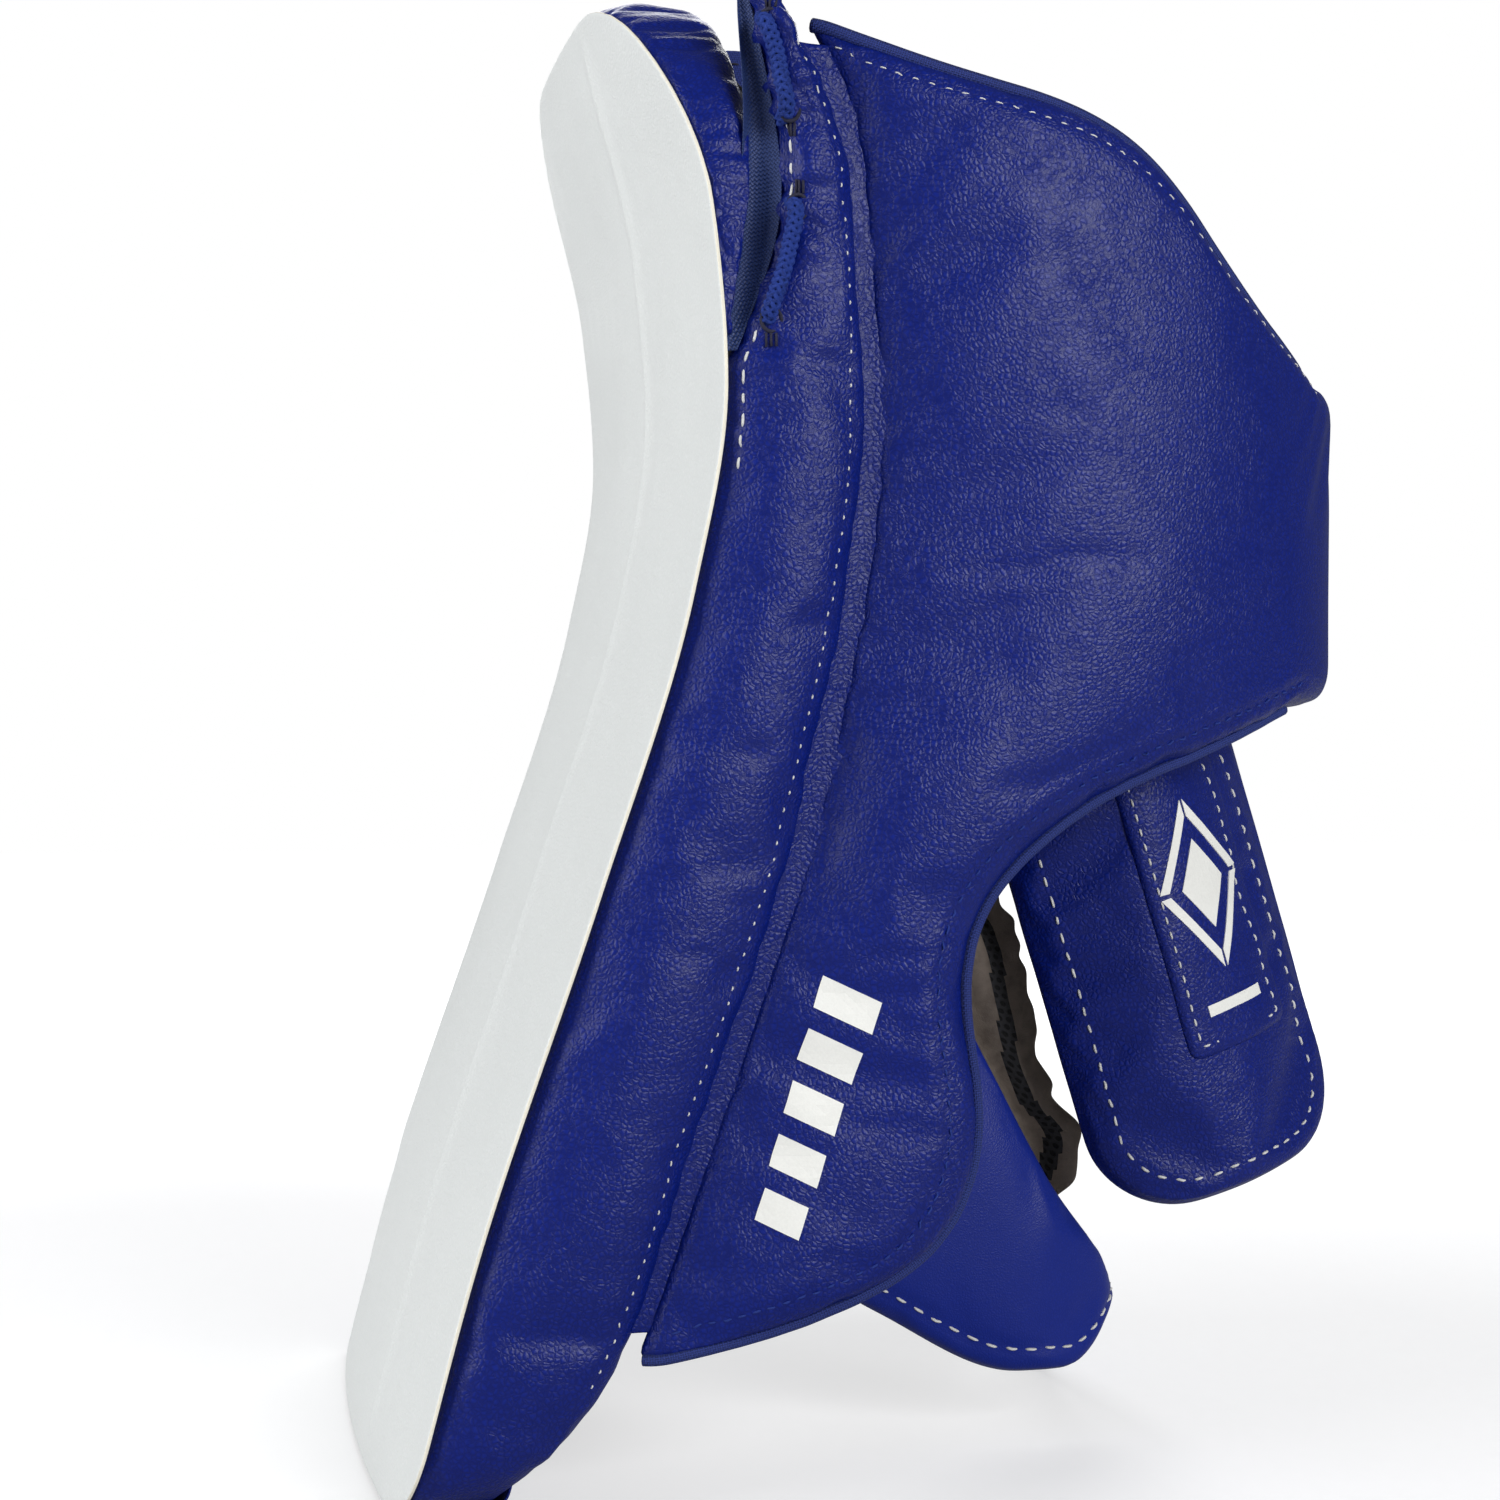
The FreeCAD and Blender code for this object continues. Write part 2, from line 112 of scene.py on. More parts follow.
GUARD_LOW = [(0, 66), (20, 52), (46, 35), (86, 17), (100, 17), (128, 29), (142, 26), (177, 8), (194, 0),
             (210, 0)]
THUMB_BASE, THUMB_LEAN = np.array([184.5, -72, 211.5]), math.radians(17.0)
THUMB_HALF, THUMB_LENGTH, THUMB_DEEP = 38.0, 148.0, 10.0
THUMB_CURL, CURL_START = 0.0117, -10.0                   # the flap curls to both sides of this line
THUMB_DOWN = np.array([math.sin(THUMB_LEAN), 0, -math.cos(THUMB_LEAN)])
THUMB_ACROSS = np.array([math.cos(THUMB_LEAN), 0, math.sin(THUMB_LEAN)])
THUMB_LINING = 1.2
STALL_R, THUMB_STALL_W = 13.0, 12.0                      # w where the thumb stall comes nearest the flap
STRAP_LOW, STRAP_HIGH = box("wrist_strap")[0][2], box("wrist_strap")[1][2]
STRAP_ARC = (-62.0, 74.0)
LACES = [(338.0, 357.0), (289.0, 313.0)]


# ---- curves and surfaces ---------------------------------------------------------------
def smooth(knots, x):
    """Values at x of a smooth curve through (x, value) knots, with no overshoot."""
    k = np.array(knots, float)
    x = np.clip(np.asarray(x, float), k[0, 0], k[-1, 0])
    slopes = np.diff(k[:, 1]) / np.diff(k[:, 0])
    s, t = slopes[:-1], slopes[1:]
    inner = np.where(s * t <= 0, 0.0, 2 * s * t / np.where(s + t == 0, 1, s + t))
    tangents = np.concatenate([[slopes[0]], inner, [slopes[-1]]])
    i = np.clip(np.searchsorted(k[:, 0], x, "right") - 1, 0, len(slopes) - 1)
    width = k[i + 1, 0] - k[i, 0]
    t = (x - k[i, 0]) / width
    return ((2 * t**3 - 3 * t**2 + 1) * k[i, 1] + (t**3 - 2 * t**2 + t) * width * tangents[i]
            + (3 * t**2 - 2 * t**3) * k[i + 1, 1] + (t**3 - t**2) * width * tangents[i + 1])


def points(x, y, z):
    return np.stack(np.broadcast_arrays(x, y, z), -1).astype(float)


def face_x(z):
    return smooth(FACE_LINE, z)


def board(y, z, depth):
    """Point at a depth below the crowned face."""
    slope = (face_x(z + 1) - face_x(z - 1)) / 2
    crown = CROWN * (1 - (y / HALF)**2)
    return points(face_x(z) + (depth - crown) * np.sqrt(1 + slope**2), y, z)


def roll_front(z):
    slope = (face_x(z + 1) - face_x(z - 1)) / 2
    return face_x(z) + (COVER + GAP) * (1 + np.abs(slope)) + 0.3 + smooth(GUSSET_WIDTH, z)


def corner_inset(distance):
    """How far the rounded finger corner draws the outline in, at a distance from the end."""
    drop = np.maximum(0, FINGER_R - distance)
    return FINGER_R - np.sqrt(FINGER_R**2 - drop**2)


def roll(z, w, depth, mirror=1):
    """Point on the side roll: w runs from its front seam to its rear one."""
    front, back = roll_front(z), smooth(ROLL_BACK, z)
    bulge = (ROLL_BULGE * 4 * w * (1 - w) + 1.5 * w) * np.minimum(1, z / 40)
    return points(front + (back - front) * w, mirror * (corner_inset(z) - HALF - bulge + depth), z)


def shield_shape(z):
    grow = 1 - (1 - np.clip((z - 35) / 200, 0, 1))**1.6
    return 95 + 55 * grow, 150 - 46 * grow


def shield(angle, z, depth):
    centre, half = shield_shape(z)
    a = np.radians(angle)
    return points(centre - (half - depth) * np.cos(a), SHIELD_Y - (SHIELD_B - depth) * np.sin(a), z)


def shield_angle(x, z):
    centre, half = shield_shape(z)
    return np.degrees(np.arccos(np.clip((centre - x) / half, -1, 1)))


def thumb(s, w, depth):
    """s runs down the thumb and w across it; depth is towards the palm."""
    s, w = np.asarray(s, float), np.asarray(w, float)
    place = THUMB_BASE + s[..., None] * THUMB_DOWN + w[..., None] * THUMB_ACROSS
    place[..., 1] += THUMB_CURL * (w - CURL_START)**2 + depth
    return place


def palm(z, angle, depth):
    a = np.radians(angle)
    return points(face_x(z) + HAND_BASE + (PALM_DEPTH - depth) * np.cos(a),
                  (PALM_HALF - depth) * np.sin(a), z)


GUARD_SIDE = GUARD_FRONT - GUARD_CORNER_R - GUARD_START
GUARD_TURN = GUARD_CORNER_R * math.pi / 2
GUARD_LENGTH = GUARD_SIDE + GUARD_TURN + GUARD_END_Y - GUARD_Y - GUARD_CORNER_R


def guard(u, v, depth):
    """Finger guard: u runs along the side wall, round the corner and across the front."""
    a = np.clip((u - GUARD_SIDE) / GUARD_CORNER_R, 0, math.pi / 2)
    r = GUARD_CORNER_R - depth
    x = GUARD_START + np.minimum(u, GUARD_SIDE) + r * np.sin(a)
    y = GUARD_Y + GUARD_CORNER_R - r * np.cos(a) + np.maximum(0, u - GUARD_SIDE - GUARD_TURN)
    low, high = smooth(GUARD_LOW, u), smooth(GUARD_HIGH, u)
    return points(x, y, low + (high - low) * v)


def resample(path, count):
    """count points evenly spaced along a polyline."""
    p = np.asarray(path, float)
    s = np.concatenate([[0], np.cumsum(np.linalg.norm(np.diff(p, axis=0), axis=1))])
    at = np.linspace(0, s[-1], count)
    return np.stack([np.interp(at, s, p[:, k]) for k in range(p.shape[1])], 1)


def spline(path, count):
    """count evenly spaced points on a smooth curve through the given ones."""
    p = np.asarray(path, float)
    s = np.concatenate([[0], np.cumsum(np.linalg.norm(np.diff(p, axis=0), axis=1))])
    h, n = np.diff(s), len(p)
    a, rhs = np.eye(n), np.zeros_like(p)
    for i in range(1, n - 1):
        a[i, i - 1:i + 2] = h[i - 1], 2 * (h[i - 1] + h[i]), h[i]
        rhs[i] = 6 * ((p[i + 1] - p[i]) / h[i] - (p[i] - p[i - 1]) / h[i - 1])
    m = np.linalg.solve(a, rhs)
    t = np.linspace(0, s[-1], 40 * n)
    i = np.clip(np.searchsorted(s, t, "right") - 1, 0, n - 2)
    x, w = (t - s[i])[:, None], h[i][:, None]
    b = (p[i + 1] - p[i]) / w - w * (2 * m[i] + m[i + 1]) / 6
    return resample(p[i] + b * x + m[i] / 2 * x**2 + (m[i + 1] - m[i]) / (6 * w) * x**3, count)


def arc(centre, radius, start, end, count=12):
    a = np.radians(np.linspace(start, end, count))
    return np.stack([centre[0] + radius * np.cos(a), centre[1] + radius * np.sin(a)], 1)


def rounded(left, right, low, high, low_r, high_r):
    """Rectangle with rounded corners, as a closed outline without its last point."""
    return np.concatenate([
        arc((left + low_r, low + low_r), low_r, 180, 270),
        arc((right - low_r, low + low_r), low_r, 270, 360),
        arc((right - high_r, high - high_r), high_r, 0, 90),
        arc((left + high_r, high - high_r), high_r, 90, 180)])


def looped(outline):
    return np.vstack([outline, outline[:1]])


def length_of(path):
    return float(np.sum(np.linalg.norm(np.diff(path, axis=0), axis=1)))


def directions(path):
    """Unit tangents of a path."""
    along = np.gradient(path, axis=0)
    return along / np.maximum(np.linalg.norm(along, axis=1, keepdims=True), 1e-9)


def beside(line, distance):
    """Moves a flat line sideways, to the left of its direction."""
    along = directions(line)
    return line + np.stack([-along[:, 1], along[:, 0]], 1) * distance


def eased(distance, reach):
    """0 at a border and 1 at reach from it, rising like the side of a cushion."""
    t = np.clip(distance / reach, 0, 1)
    return np.sqrt(1 - (1 - t)**2)


def clustered(start, end, count):
    """Numbers closer together near both ends."""
    return start + (end - start) * (1 - np.cos(np.linspace(0, math.pi, count))) / 2


def mesh_grid(u, v):
    return np.meshgrid(u, v, indexing="ij")


def ripple(place, size, seed):
    """Gentle smooth unevenness, about -1 to 1, at places in mm."""
    r = np.random.default_rng(seed)
    total = np.zeros(place.shape[:-1])
    for _ in range(9):
        k = r.normal(size=3)
        k *= (0.6 + r.random()) * 2 * math.pi / size / np.linalg.norm(k)
        total += np.sin(place @ k + r.random() * 6.3)
    return total / 3


# ---- meshes ----------------------------------------------------------------------------
def mesh_object(name, verts, faces, uv=None, material=None):
    mesh = bpy.data.meshes.new(name)
    mesh.from_pydata((np.asarray(verts, float) * MM).tolist(), [], [[int(i) for i in f] for f in faces])
    mesh.update()
    mesh.shade_smooth()
    if uv is not None:
        layer = mesh.uv_layers.new(name="cut")
        corners = np.empty(len(mesh.loops), np.int32)
        mesh.loops.foreach_get("vertex_index", corners)
        layer.data.foreach_set("uv", (np.asarray(uv, float) * MM)[corners].astype(np.float32).ravel())
    obj = bpy.data.objects.new(name, mesh)
    scene.collection.objects.link(obj)
    if material:
        mesh.materials.append(material)
    return obj


def face_outwards(obj):
    bm = bmesh.new()
    bm.from_mesh(obj.data)
    bmesh.ops.recalc_face_normals(bm, faces=bm.faces[:])
    bm.to_mesh(obj.data)
    bm.free()


def closed(name, outer, inner, faces, loop, uv, material, rim, rim_material=None):
    """Closed pad from two matching point sets, joined round their border by a rounded rim."""
    count, n = len(outer), len(loop)
    middle = (outer + inner) / 2
    edge = middle[loop]
    near = {int(i): [] for i in loop}
    for f in faces:
        for i in f:
            if int(i) in near:
                near[int(i)].extend(int(j) for j in f)
    inward = np.array([middle[near[int(i)]].mean(0) for i in loop]) - edge
    along = np.roll(edge, -1, 0) - np.roll(edge, 1, 0)
    away = np.cross(along, (outer - inner)[loop])
    away *= -np.sign(np.sum(away * inward, axis=1, keepdims=True))
    away /= np.maximum(np.linalg.norm(away, axis=1, keepdims=True), 1e-9)
    verts = np.concatenate([outer, inner, edge + away * rim])
    uvs = np.concatenate([uv, uv, uv[loop]])
    f = faces[len(faces) // 2]
    turn = np.cross(outer[f[1]] - outer[f[0]], outer[f[2]] - outer[f[0]])
    flip = np.dot(turn, (outer - inner)[f[0]]) < 0
    front = [f[::-1] if flip else f for f in faces]
    back = [[i + count for i in f][::-1] for f in front]
    edges = {(int(f[k]), int(f[(k + 1) % len(f)])) for f in front for k in range(len(f))}
    sides = []
    for k in range(n):
        m = (k + 1) % n
        a, b, ra, rb = int(loop[k]), int(loop[m]), 2 * count + k, 2 * count + m
        one, two = [b, a, ra, rb], [rb, ra, a + count, b + count]
        sides += [one, two] if (a, b) in edges else [one[::-1], two[::-1]]
    obj = mesh_object(name, verts, front + back + sides, uvs, material)
    if rim_material:
        obj.data.materials.append(rim_material)
        slots = np.zeros(len(obj.data.polygons), np.int32)
        slots[2 * len(front):] = 1
        obj.data.polygons.foreach_set("material_index", slots)
    obj["outer"] = count
    return obj


def grid_layout(nu, nv):
    i, j = np.meshgrid(np.arange(nu - 1), np.arange(nv - 1), indexing="ij")
    a = i * nv + j
    faces = np.stack([a, a + nv, a + nv + 1, a + 1], -1).reshape(-1, 4).tolist()
    loop = ([i * nv for i in range(nu)] + [(nu - 1) * nv + j for j in range(1, nv)]
            + [i * nv + nv - 1 for i in range(nu - 2, -1, -1)] + list(range(nv - 2, 0, -1)))
    return faces, np.array(loop)


def grid_edges(grid):
    """Distance in mm of each grid point from the start of u, end of u, start of v, end of v."""
    du = np.linalg.norm(np.diff(grid, axis=0), axis=2)
    dv = np.linalg.norm(np.diff(grid, axis=1), axis=2)
    su = np.concatenate([np.zeros((1, grid.shape[1])), np.cumsum(du, 0)])
    sv = np.concatenate([np.zeros((grid.shape[0], 1)), np.cumsum(dv, 1)], 1)
    return su, su[-1:] - su, sv, sv[:, -1:] - sv


def shell(name, outer, inner, material, rim):
    """Closed pad from two grids of points."""
    faces, loop = grid_layout(*outer.shape[:2])
    su, _, sv, _ = grid_edges((outer + inner) / 2)
    uv = np.stack([sv, su], -1).reshape(-1, 2)
    return closed(name, outer.reshape(-1, 3), inner.reshape(-1, 3), faces, loop, uv, material, rim)


def pinch(outer, inner, near, reach, edge, sink):
    """Brings two surfaces to edge mm apart at their border, at the share sink of the way inwards."""
    lift = eased(near, reach)[..., None]
    through = inner - outer
    thick = np.linalg.norm(through, axis=-1, keepdims=True)
    half = np.minimum(0.5, edge / 2 / np.maximum(thick, 1e-6))
    middle = outer + through * sink
    low_outer, low_inner = middle - through * half, middle + through * half
    return low_outer + (outer - low_outer) * lift, low_inner + (inner - low_inner) * lift


def cushion_grid(name, outer, inner, material, reach, edge, sink, rim=0.6):
    """Pad from two grids that come together at their borders, as a sewn pad does."""
    near = np.minimum.reduce(grid_edges((outer + inner) / 2))
    return shell(name, *pinch(outer, inner, near, reach, edge, sink), material, rim)


def inside(outline, p):
    """Whether 2D points lie inside a closed outline."""
    hits = np.zeros(len(p), int)
    for (ax, ay), (bx, by) in zip(outline, np.roll(outline, -1, 0)):
        if ay != by:
            cross = (ay > p[:, 1]) != (by > p[:, 1])
            hits += cross & (p[:, 0] < ax + (p[:, 1] - ay) / (by - ay) * (bx - ax))
    return hits % 2 == 1


def gap_to(line, p):
    """Distance of points from a polyline's closely spaced points."""
    far = np.empty(len(p))
    for k in range(0, len(p), 1000):
        far[k:k + 1000] = np.linalg.norm(p[k:k + 1000, None] - line[None], axis=2).min(1)
    return far


def triangles(p, border):
    """Triangles over 2D points whose first border ones are the outline, anticlockwise."""
    made = delaunay_2d_cdt([Vector(q) for q in p], [], [list(range(border))], 1, 1e-6)
    origin = [o[0] if o else 0 for o in made[3]]
    return [[origin[i] for i in f] for f in made[2]]


def anticlockwise(outline):
    x, y = outline.T
    return outline if np.sum(x * np.roll(y, -1) - y * np.roll(x, -1)) > 0 else outline[::-1]


class Cut:
    """A flat cut: points and triangles inside a 2D outline, the outline's own points first."""

    def __init__(self, outline, spacing, rings=(1.2, 3.0)):
        ends = looped(anticlockwise(outline))
        edge = resample(ends, int(length_of(ends) / spacing) + 1)[:-1]
        dense = resample(ends, len(edge) * 5)
        along = np.roll(edge, -1, 0) - np.roll(edge, 1, 0)
        along /= np.linalg.norm(along, axis=1, keepdims=True)
        inward = np.stack([-along[:, 1], along[:, 0]], 1)
        p = [edge]
        for offset in rings:
            ring = edge + inward * offset
            p.append(ring[(gap_to(dense, ring) > offset * 0.93) & inside(edge, ring)])
        low, high = edge.min(0), edge.max(0)
        grid = np.stack(mesh_grid(np.arange(low[0], high[0], spacing),
                                  np.arange(low[1], high[1], spacing * 0.866)), -1)
        grid[:, 1::2, 0] += spacing / 2
        grid = grid.reshape(-1, 2)
        grid = grid[inside(edge, grid)]
        p.append(grid[gap_to(dense, grid) > rings[-1] + spacing * 0.55])
        self.p = np.concatenate(p)
        self.faces = triangles(self.p, len(edge))
        self.loop = np.arange(len(edge))
        self.near = gap_to(dense, self.p)
        self.near[:len(edge)] = 0
        self.size = high - low

    def piece(self, name, outer, inner, material, rim=0.1, rim_material=None):
        return closed(name, outer, inner, self.faces, self.loop, self.p, material, rim, rim_material)

    def pad(self, name, outer, inner, material, reach, edge, sink, rim):
        """A piece whose two sides come together at its border, as a sewn pad's do."""
        return self.piece(name, *pinch(outer, inner, self.near, reach, edge, sink), material, rim)


def declare_sheet(place, flat=None):
    """Works out a flat size for a cloth's cut from the given surface when none is given, and keeps nothing.
    """
    if flat is None:
        flat = (grid_edges(place)[3][:, 0].max(), grid_edges(place)[1][0].max())


def tube_mesh(paths, radii, sides=8, ring=False):
    """Vertices, faces and UVs of round tubes along several paths, capped unless they are rings."""
    verts, faces, uvs = [], [], []
    turn = np.linspace(0, 2 * math.pi, sides, endpoint=False)
    for path, radius in zip(paths, radii):
        p = np.asarray(path, float)
        r = np.broadcast_to(radius, len(p))
        tangent = np.roll(p, -1, 0) - np.roll(p, 1, 0) if ring else np.gradient(p, axis=0)
        tangent /= np.maximum(np.linalg.norm(tangent, axis=1, keepdims=True), 1e-9)
        side = np.cross(tangent[0], [0.3, 0.5, 0.81])
        start = len(verts)
        far = np.concatenate([[0], np.cumsum(np.linalg.norm(np.diff(p, axis=0), axis=1))])
        for k in range(len(p)):
            side = side - tangent[k] * np.dot(side, tangent[k])
            side /= np.linalg.norm(side)
            other = np.cross(tangent[k], side)
            verts.extend(p[k] + (np.outer(np.cos(turn), side) + np.outer(np.sin(turn), other)) * r[k])
            uvs.extend((a * r[k], far[k]) for a in turn)
        for k in range(len(p) if ring else len(p) - 1):
            low, high = start + k * sides, start + (k + 1) % len(p) * sides
            faces += [[low + a, low + (a + 1) % sides, high + (a + 1) % sides, high + a]
                      for a in range(sides)]
        if not ring:
            faces.append([start + a for a in range(sides)][::-1])
            faces.append([start + (len(p) - 1) * sides + a for a in range(sides)])
    return verts, faces, uvs


def tubes(name, paths, radii, material, sides=8, ring=False):
    return mesh_object(name, *tube_mesh(paths, radii, sides, ring), material)


def coordinates(obj):
    co = np.empty(len(obj.data.vertices) * 3, np.float32)
    obj.data.vertices.foreach_get("co", co)
    return co.reshape(-1, 3).astype(float) / MM


def set_coordinates(obj, co):
    obj.data.vertices.foreach_set("co", (co * MM).astype(np.float32).ravel())
    obj.data.update()


def outward(obj):
    """Unit normals of a mesh's vertices."""
    n = np.empty(len(obj.data.vertices) * 3, np.float32)
    obj.data.vertex_normals.foreach_get("vector", n)
    return n.reshape(-1, 3).astype(float)


def refine(obj):
    """Applies one subdivision, together with the object's other modifiers."""
    m = obj.modifiers.new("smooth", "SUBSURF")
    m.levels = m.render_levels = 1
    graph = bpy.context.evaluated_depsgraph_get()
    mesh = bpy.data.meshes.new_from_object(obj.evaluated_get(graph), preserve_all_data_layers=True,
                                           depsgraph=graph)
    obj.modifiers.clear()
    obj.data = mesh
    mesh.shade_smooth()
    return obj


# ---- padding by simulation ---------------------------------------------------------------
pads = []


def inflate(obj, held, cap, pressure, slack):
    """Queues a pad to be blown up by at most cap mm. Its inner side, rim and held points stay."""
    fixed = set(range(obj["outer"], len(obj.data.vertices))) | set(np.flatnonzero(held).tolist())
    obj.vertex_groups.new(name="pin").add(sorted(fixed), 1.0, "REPLACE")
    pads.append((obj, cap))
    s = obj.modifiers.new("cloth", "CLOTH").settings
    s.quality, s.mass = 4, 0.3
    s.tension_stiffness = s.compression_stiffness = 12
    s.shear_stiffness, s.bending_stiffness = 6, 0.8
    s.vertex_group_mass = "pin"
    s.use_pressure, s.uniform_pressure_force = True, pressure
    s.shrink_min = -slack
    s.effector_weights.gravity = 0
    return obj


def border_held(shape):
    held = np.zeros(shape, bool)
    held[:, [0, -1]] = held[[0, -1]] = True
    return held


def run_padding():
    """Simulates every queued pad at once, keeps the capped movement and subdivides the pads."""
    scene.frame_start, scene.frame_end = 1, FRAMES
    for f in range(1, FRAMES + 1):
        scene.frame_set(f)
    graph = bpy.context.evaluated_depsgraph_get()
    moved = []
    for obj, cap in pads:
        rest = coordinates(obj)
        co = np.empty(len(rest) * 3, np.float32)
        obj.evaluated_get(graph).data.vertices.foreach_get("co", co)
        move = co.reshape(-1, 3).astype(float) / MM - rest
        far = np.linalg.norm(move, axis=1, keepdims=True)
        moved.append(rest + move * cap * np.tanh(far / cap) / np.maximum(far, 1e-9))
        print(f"{obj.name:20} largest move {far.max():5.1f} mm, {len(rest)} points")
    for (obj, _), co in zip(pads, moved):
        obj.modifiers.clear()
        set_coordinates(obj, co)
        refine(obj)
    scene.frame_set(1)


# ---- sewing ------------------------------------------------------------------------------
class Skin:
    """The surface of a finished piece, to lay stitches, piping and prints on."""

    def __init__(self, obj):
        self.tree = BVHTree.FromPolygons([v.co / MM for v in obj.data.vertices],
                                         [p.vertices[:] for p in obj.data.polygons])

    def near(self, place, lift=0.0):
        hit, normal, _, _ = self.tree.find_nearest(Vector(place))
        return np.array(hit) + np.array(normal) * lift, np.array(normal)

    def cast(self, place, direction):
        """Where a line through place meets the surface, starting reach mm outside it."""
        reach, direction = 12.0, Vector(direction).normalized()
        hit, normal, _, _ = self.tree.ray_cast(Vector(place) - direction * reach, direction, 2 * reach)
        return self.near(place) if hit is None else (np.array(hit), np.array(normal))

    def lay(self, path, lift=0.0):
        return np.array([self.near(p, lift)[0] for p in path])


def close_to(co, line, reach):
    return np.flatnonzero(np.all((co > line.min(0) - reach) & (co < line.max(0) + reach), axis=1))


def press(obj, path, width, depth):
    """Presses a sewn line into a piece's surface."""
    line = resample(path, max(8, int(length_of(path) * 1.2)))
    co, normal = coordinates(obj), outward(obj)
    close = close_to(co, line, 3 * width)
    if len(close):
        co[close] -= normal[close] * (depth * np.exp(-(gap_to(line, co[close]) / width)**2))[:, None]
        set_coordinates(obj, co)


def pucker(obj, path, pitch, reach, depth, seed=1):
    """Gathers the leather in uneven small waves beside a sewn line."""
    r = np.random.default_rng(seed)
    line = resample(path, max(8, int(length_of(path))))
    co, normal = coordinates(obj), outward(obj)
    close = close_to(co, line, 3 * reach)
    if not len(close):
        return
    at = np.concatenate([np.linalg.norm(part[:, None] - line[None], axis=2).argmin(1)
                         for part in np.array_split(co[close], len(close) // 1000 + 1)])
    far = np.linalg.norm(co[close] - line[at], axis=1)
    s = at * length_of(line) / (len(line) - 1)
    knots = np.linspace(0, s.max() + 1, 30)
    drift = np.interp(s, knots, r.normal(size=30) * 1.3)
    strength = np.interp(s, knots, r.random(30) * 0.9 + 0.25)
    wave = np.sin(2 * math.pi * s / pitch + drift) * strength
    shape = (far / reach) * np.exp(1 - far / reach) * np.exp(-(far / reach / 2)**2)
    co[close] += normal[close] * (depth * wave * shape)[:, None]
    set_coordinates(obj, co)


def crumple(obj, size, depth, seed):
    """Uneven soft folds all over a piece."""
    co, normal = coordinates(obj), outward(obj)
    amount = depth * ripple(co, size, seed)
    set_coordinates(obj, co + normal * amount[:, None])


def dress(obj, body, slot, *nodes):
    """Puts a finished piece on its body and hides the CAD nodes it stands for. Its slot is not used."""
    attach(obj, body)
    if nodes:
        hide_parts(*nodes)
    return obj


def stitches(name, path, skin, body, length, gap, radius=0.36, material=None):
    """A running stitch: short rounded threads that dip into the leather at both ends."""
    count = max(1, int(length_of(path) / (length + gap)))
    fine = resample(path, count * 8 + 1)
    at = np.linspace(0, 1, len(fine))
    share = length / (length + gap)
    heights = np.array([-0.9, 0.35, 0.6, 0.35, -0.9]) * radius
    paths = []
    for k in range(count):
        t = np.linspace(0, share / count, 5) + (k + 0.5 * (1 - share)) / count
        spots = np.stack([np.interp(t, at, fine[:, c]) for c in range(3)], 1)
        paths.append([skin.near(p, h)[0] for p, h in zip(spots, heights)])
    radii = [radius * np.array([0.6, 1, 1.05, 1, 0.6])] * count
    return dress(tubes(name, paths, radii, material or thread, 6), body, "thread")


def piping(name, path, skin, body, radius, lift):
    """A round bound welt laid on a surface."""
    route = skin.lay(resample(path, int(length_of(path) / (radius * 1.1)) + 4), lift)
    for _ in range(3):
        route[1:-1] = (route[:-2] + 2 * route[1:-1] + route[2:]) / 4
    return dress(tubes(name, [route], [radius], binding, 10), body, "binding")


def print_on(name, outlines, place, direction, skin, body):
    """Raised flat shapes; outlines are 2D polygons and place(a, b) gives their points on the piece."""
    height, root, step = 0.3, 0.3, 2.5
    verts, faces = [], []
    for outline in outlines:
        ends = looped(anticlockwise(np.array(outline, float)))
        dense = np.concatenate([resample([a, b], max(2, int(math.dist(a, b) / step) + 1))[:-1]
                                for a, b in zip(ends, ends[1:])])
        low, high = dense.min(0), dense.max(0)
        grid = np.stack(mesh_grid(np.arange(low[0], high[0], step), np.arange(low[1], high[1], step)),
                        -1).reshape(-1, 2)
        grid = grid[inside(dense, grid)]
        grid = grid[gap_to(dense, grid) > step * 0.5]
        p = np.concatenate([dense, grid])
        start, n, border = len(verts), len(p), len(dense)
        top = [skin.cast(q, direction) for q in place(*p.T)]
        verts += [hit + normal * height for hit, normal in top]
        verts += [hit - normal * root for hit, normal in top]
        cap = [[i + start for i in f] for f in triangles(p, border)]
        faces += cap + [[i + n for i in f][::-1] for f in cap]
        faces += [[start + k, start + (k + 1) % border, start + (k + 1) % border + n, start + k + n]
                  for k in range(border)]
    obj = mesh_object(name, verts, faces, None, paint)
    face_outwards(obj)
    obj.data.shade_flat()
    return dress(obj, body, "emblem_print")


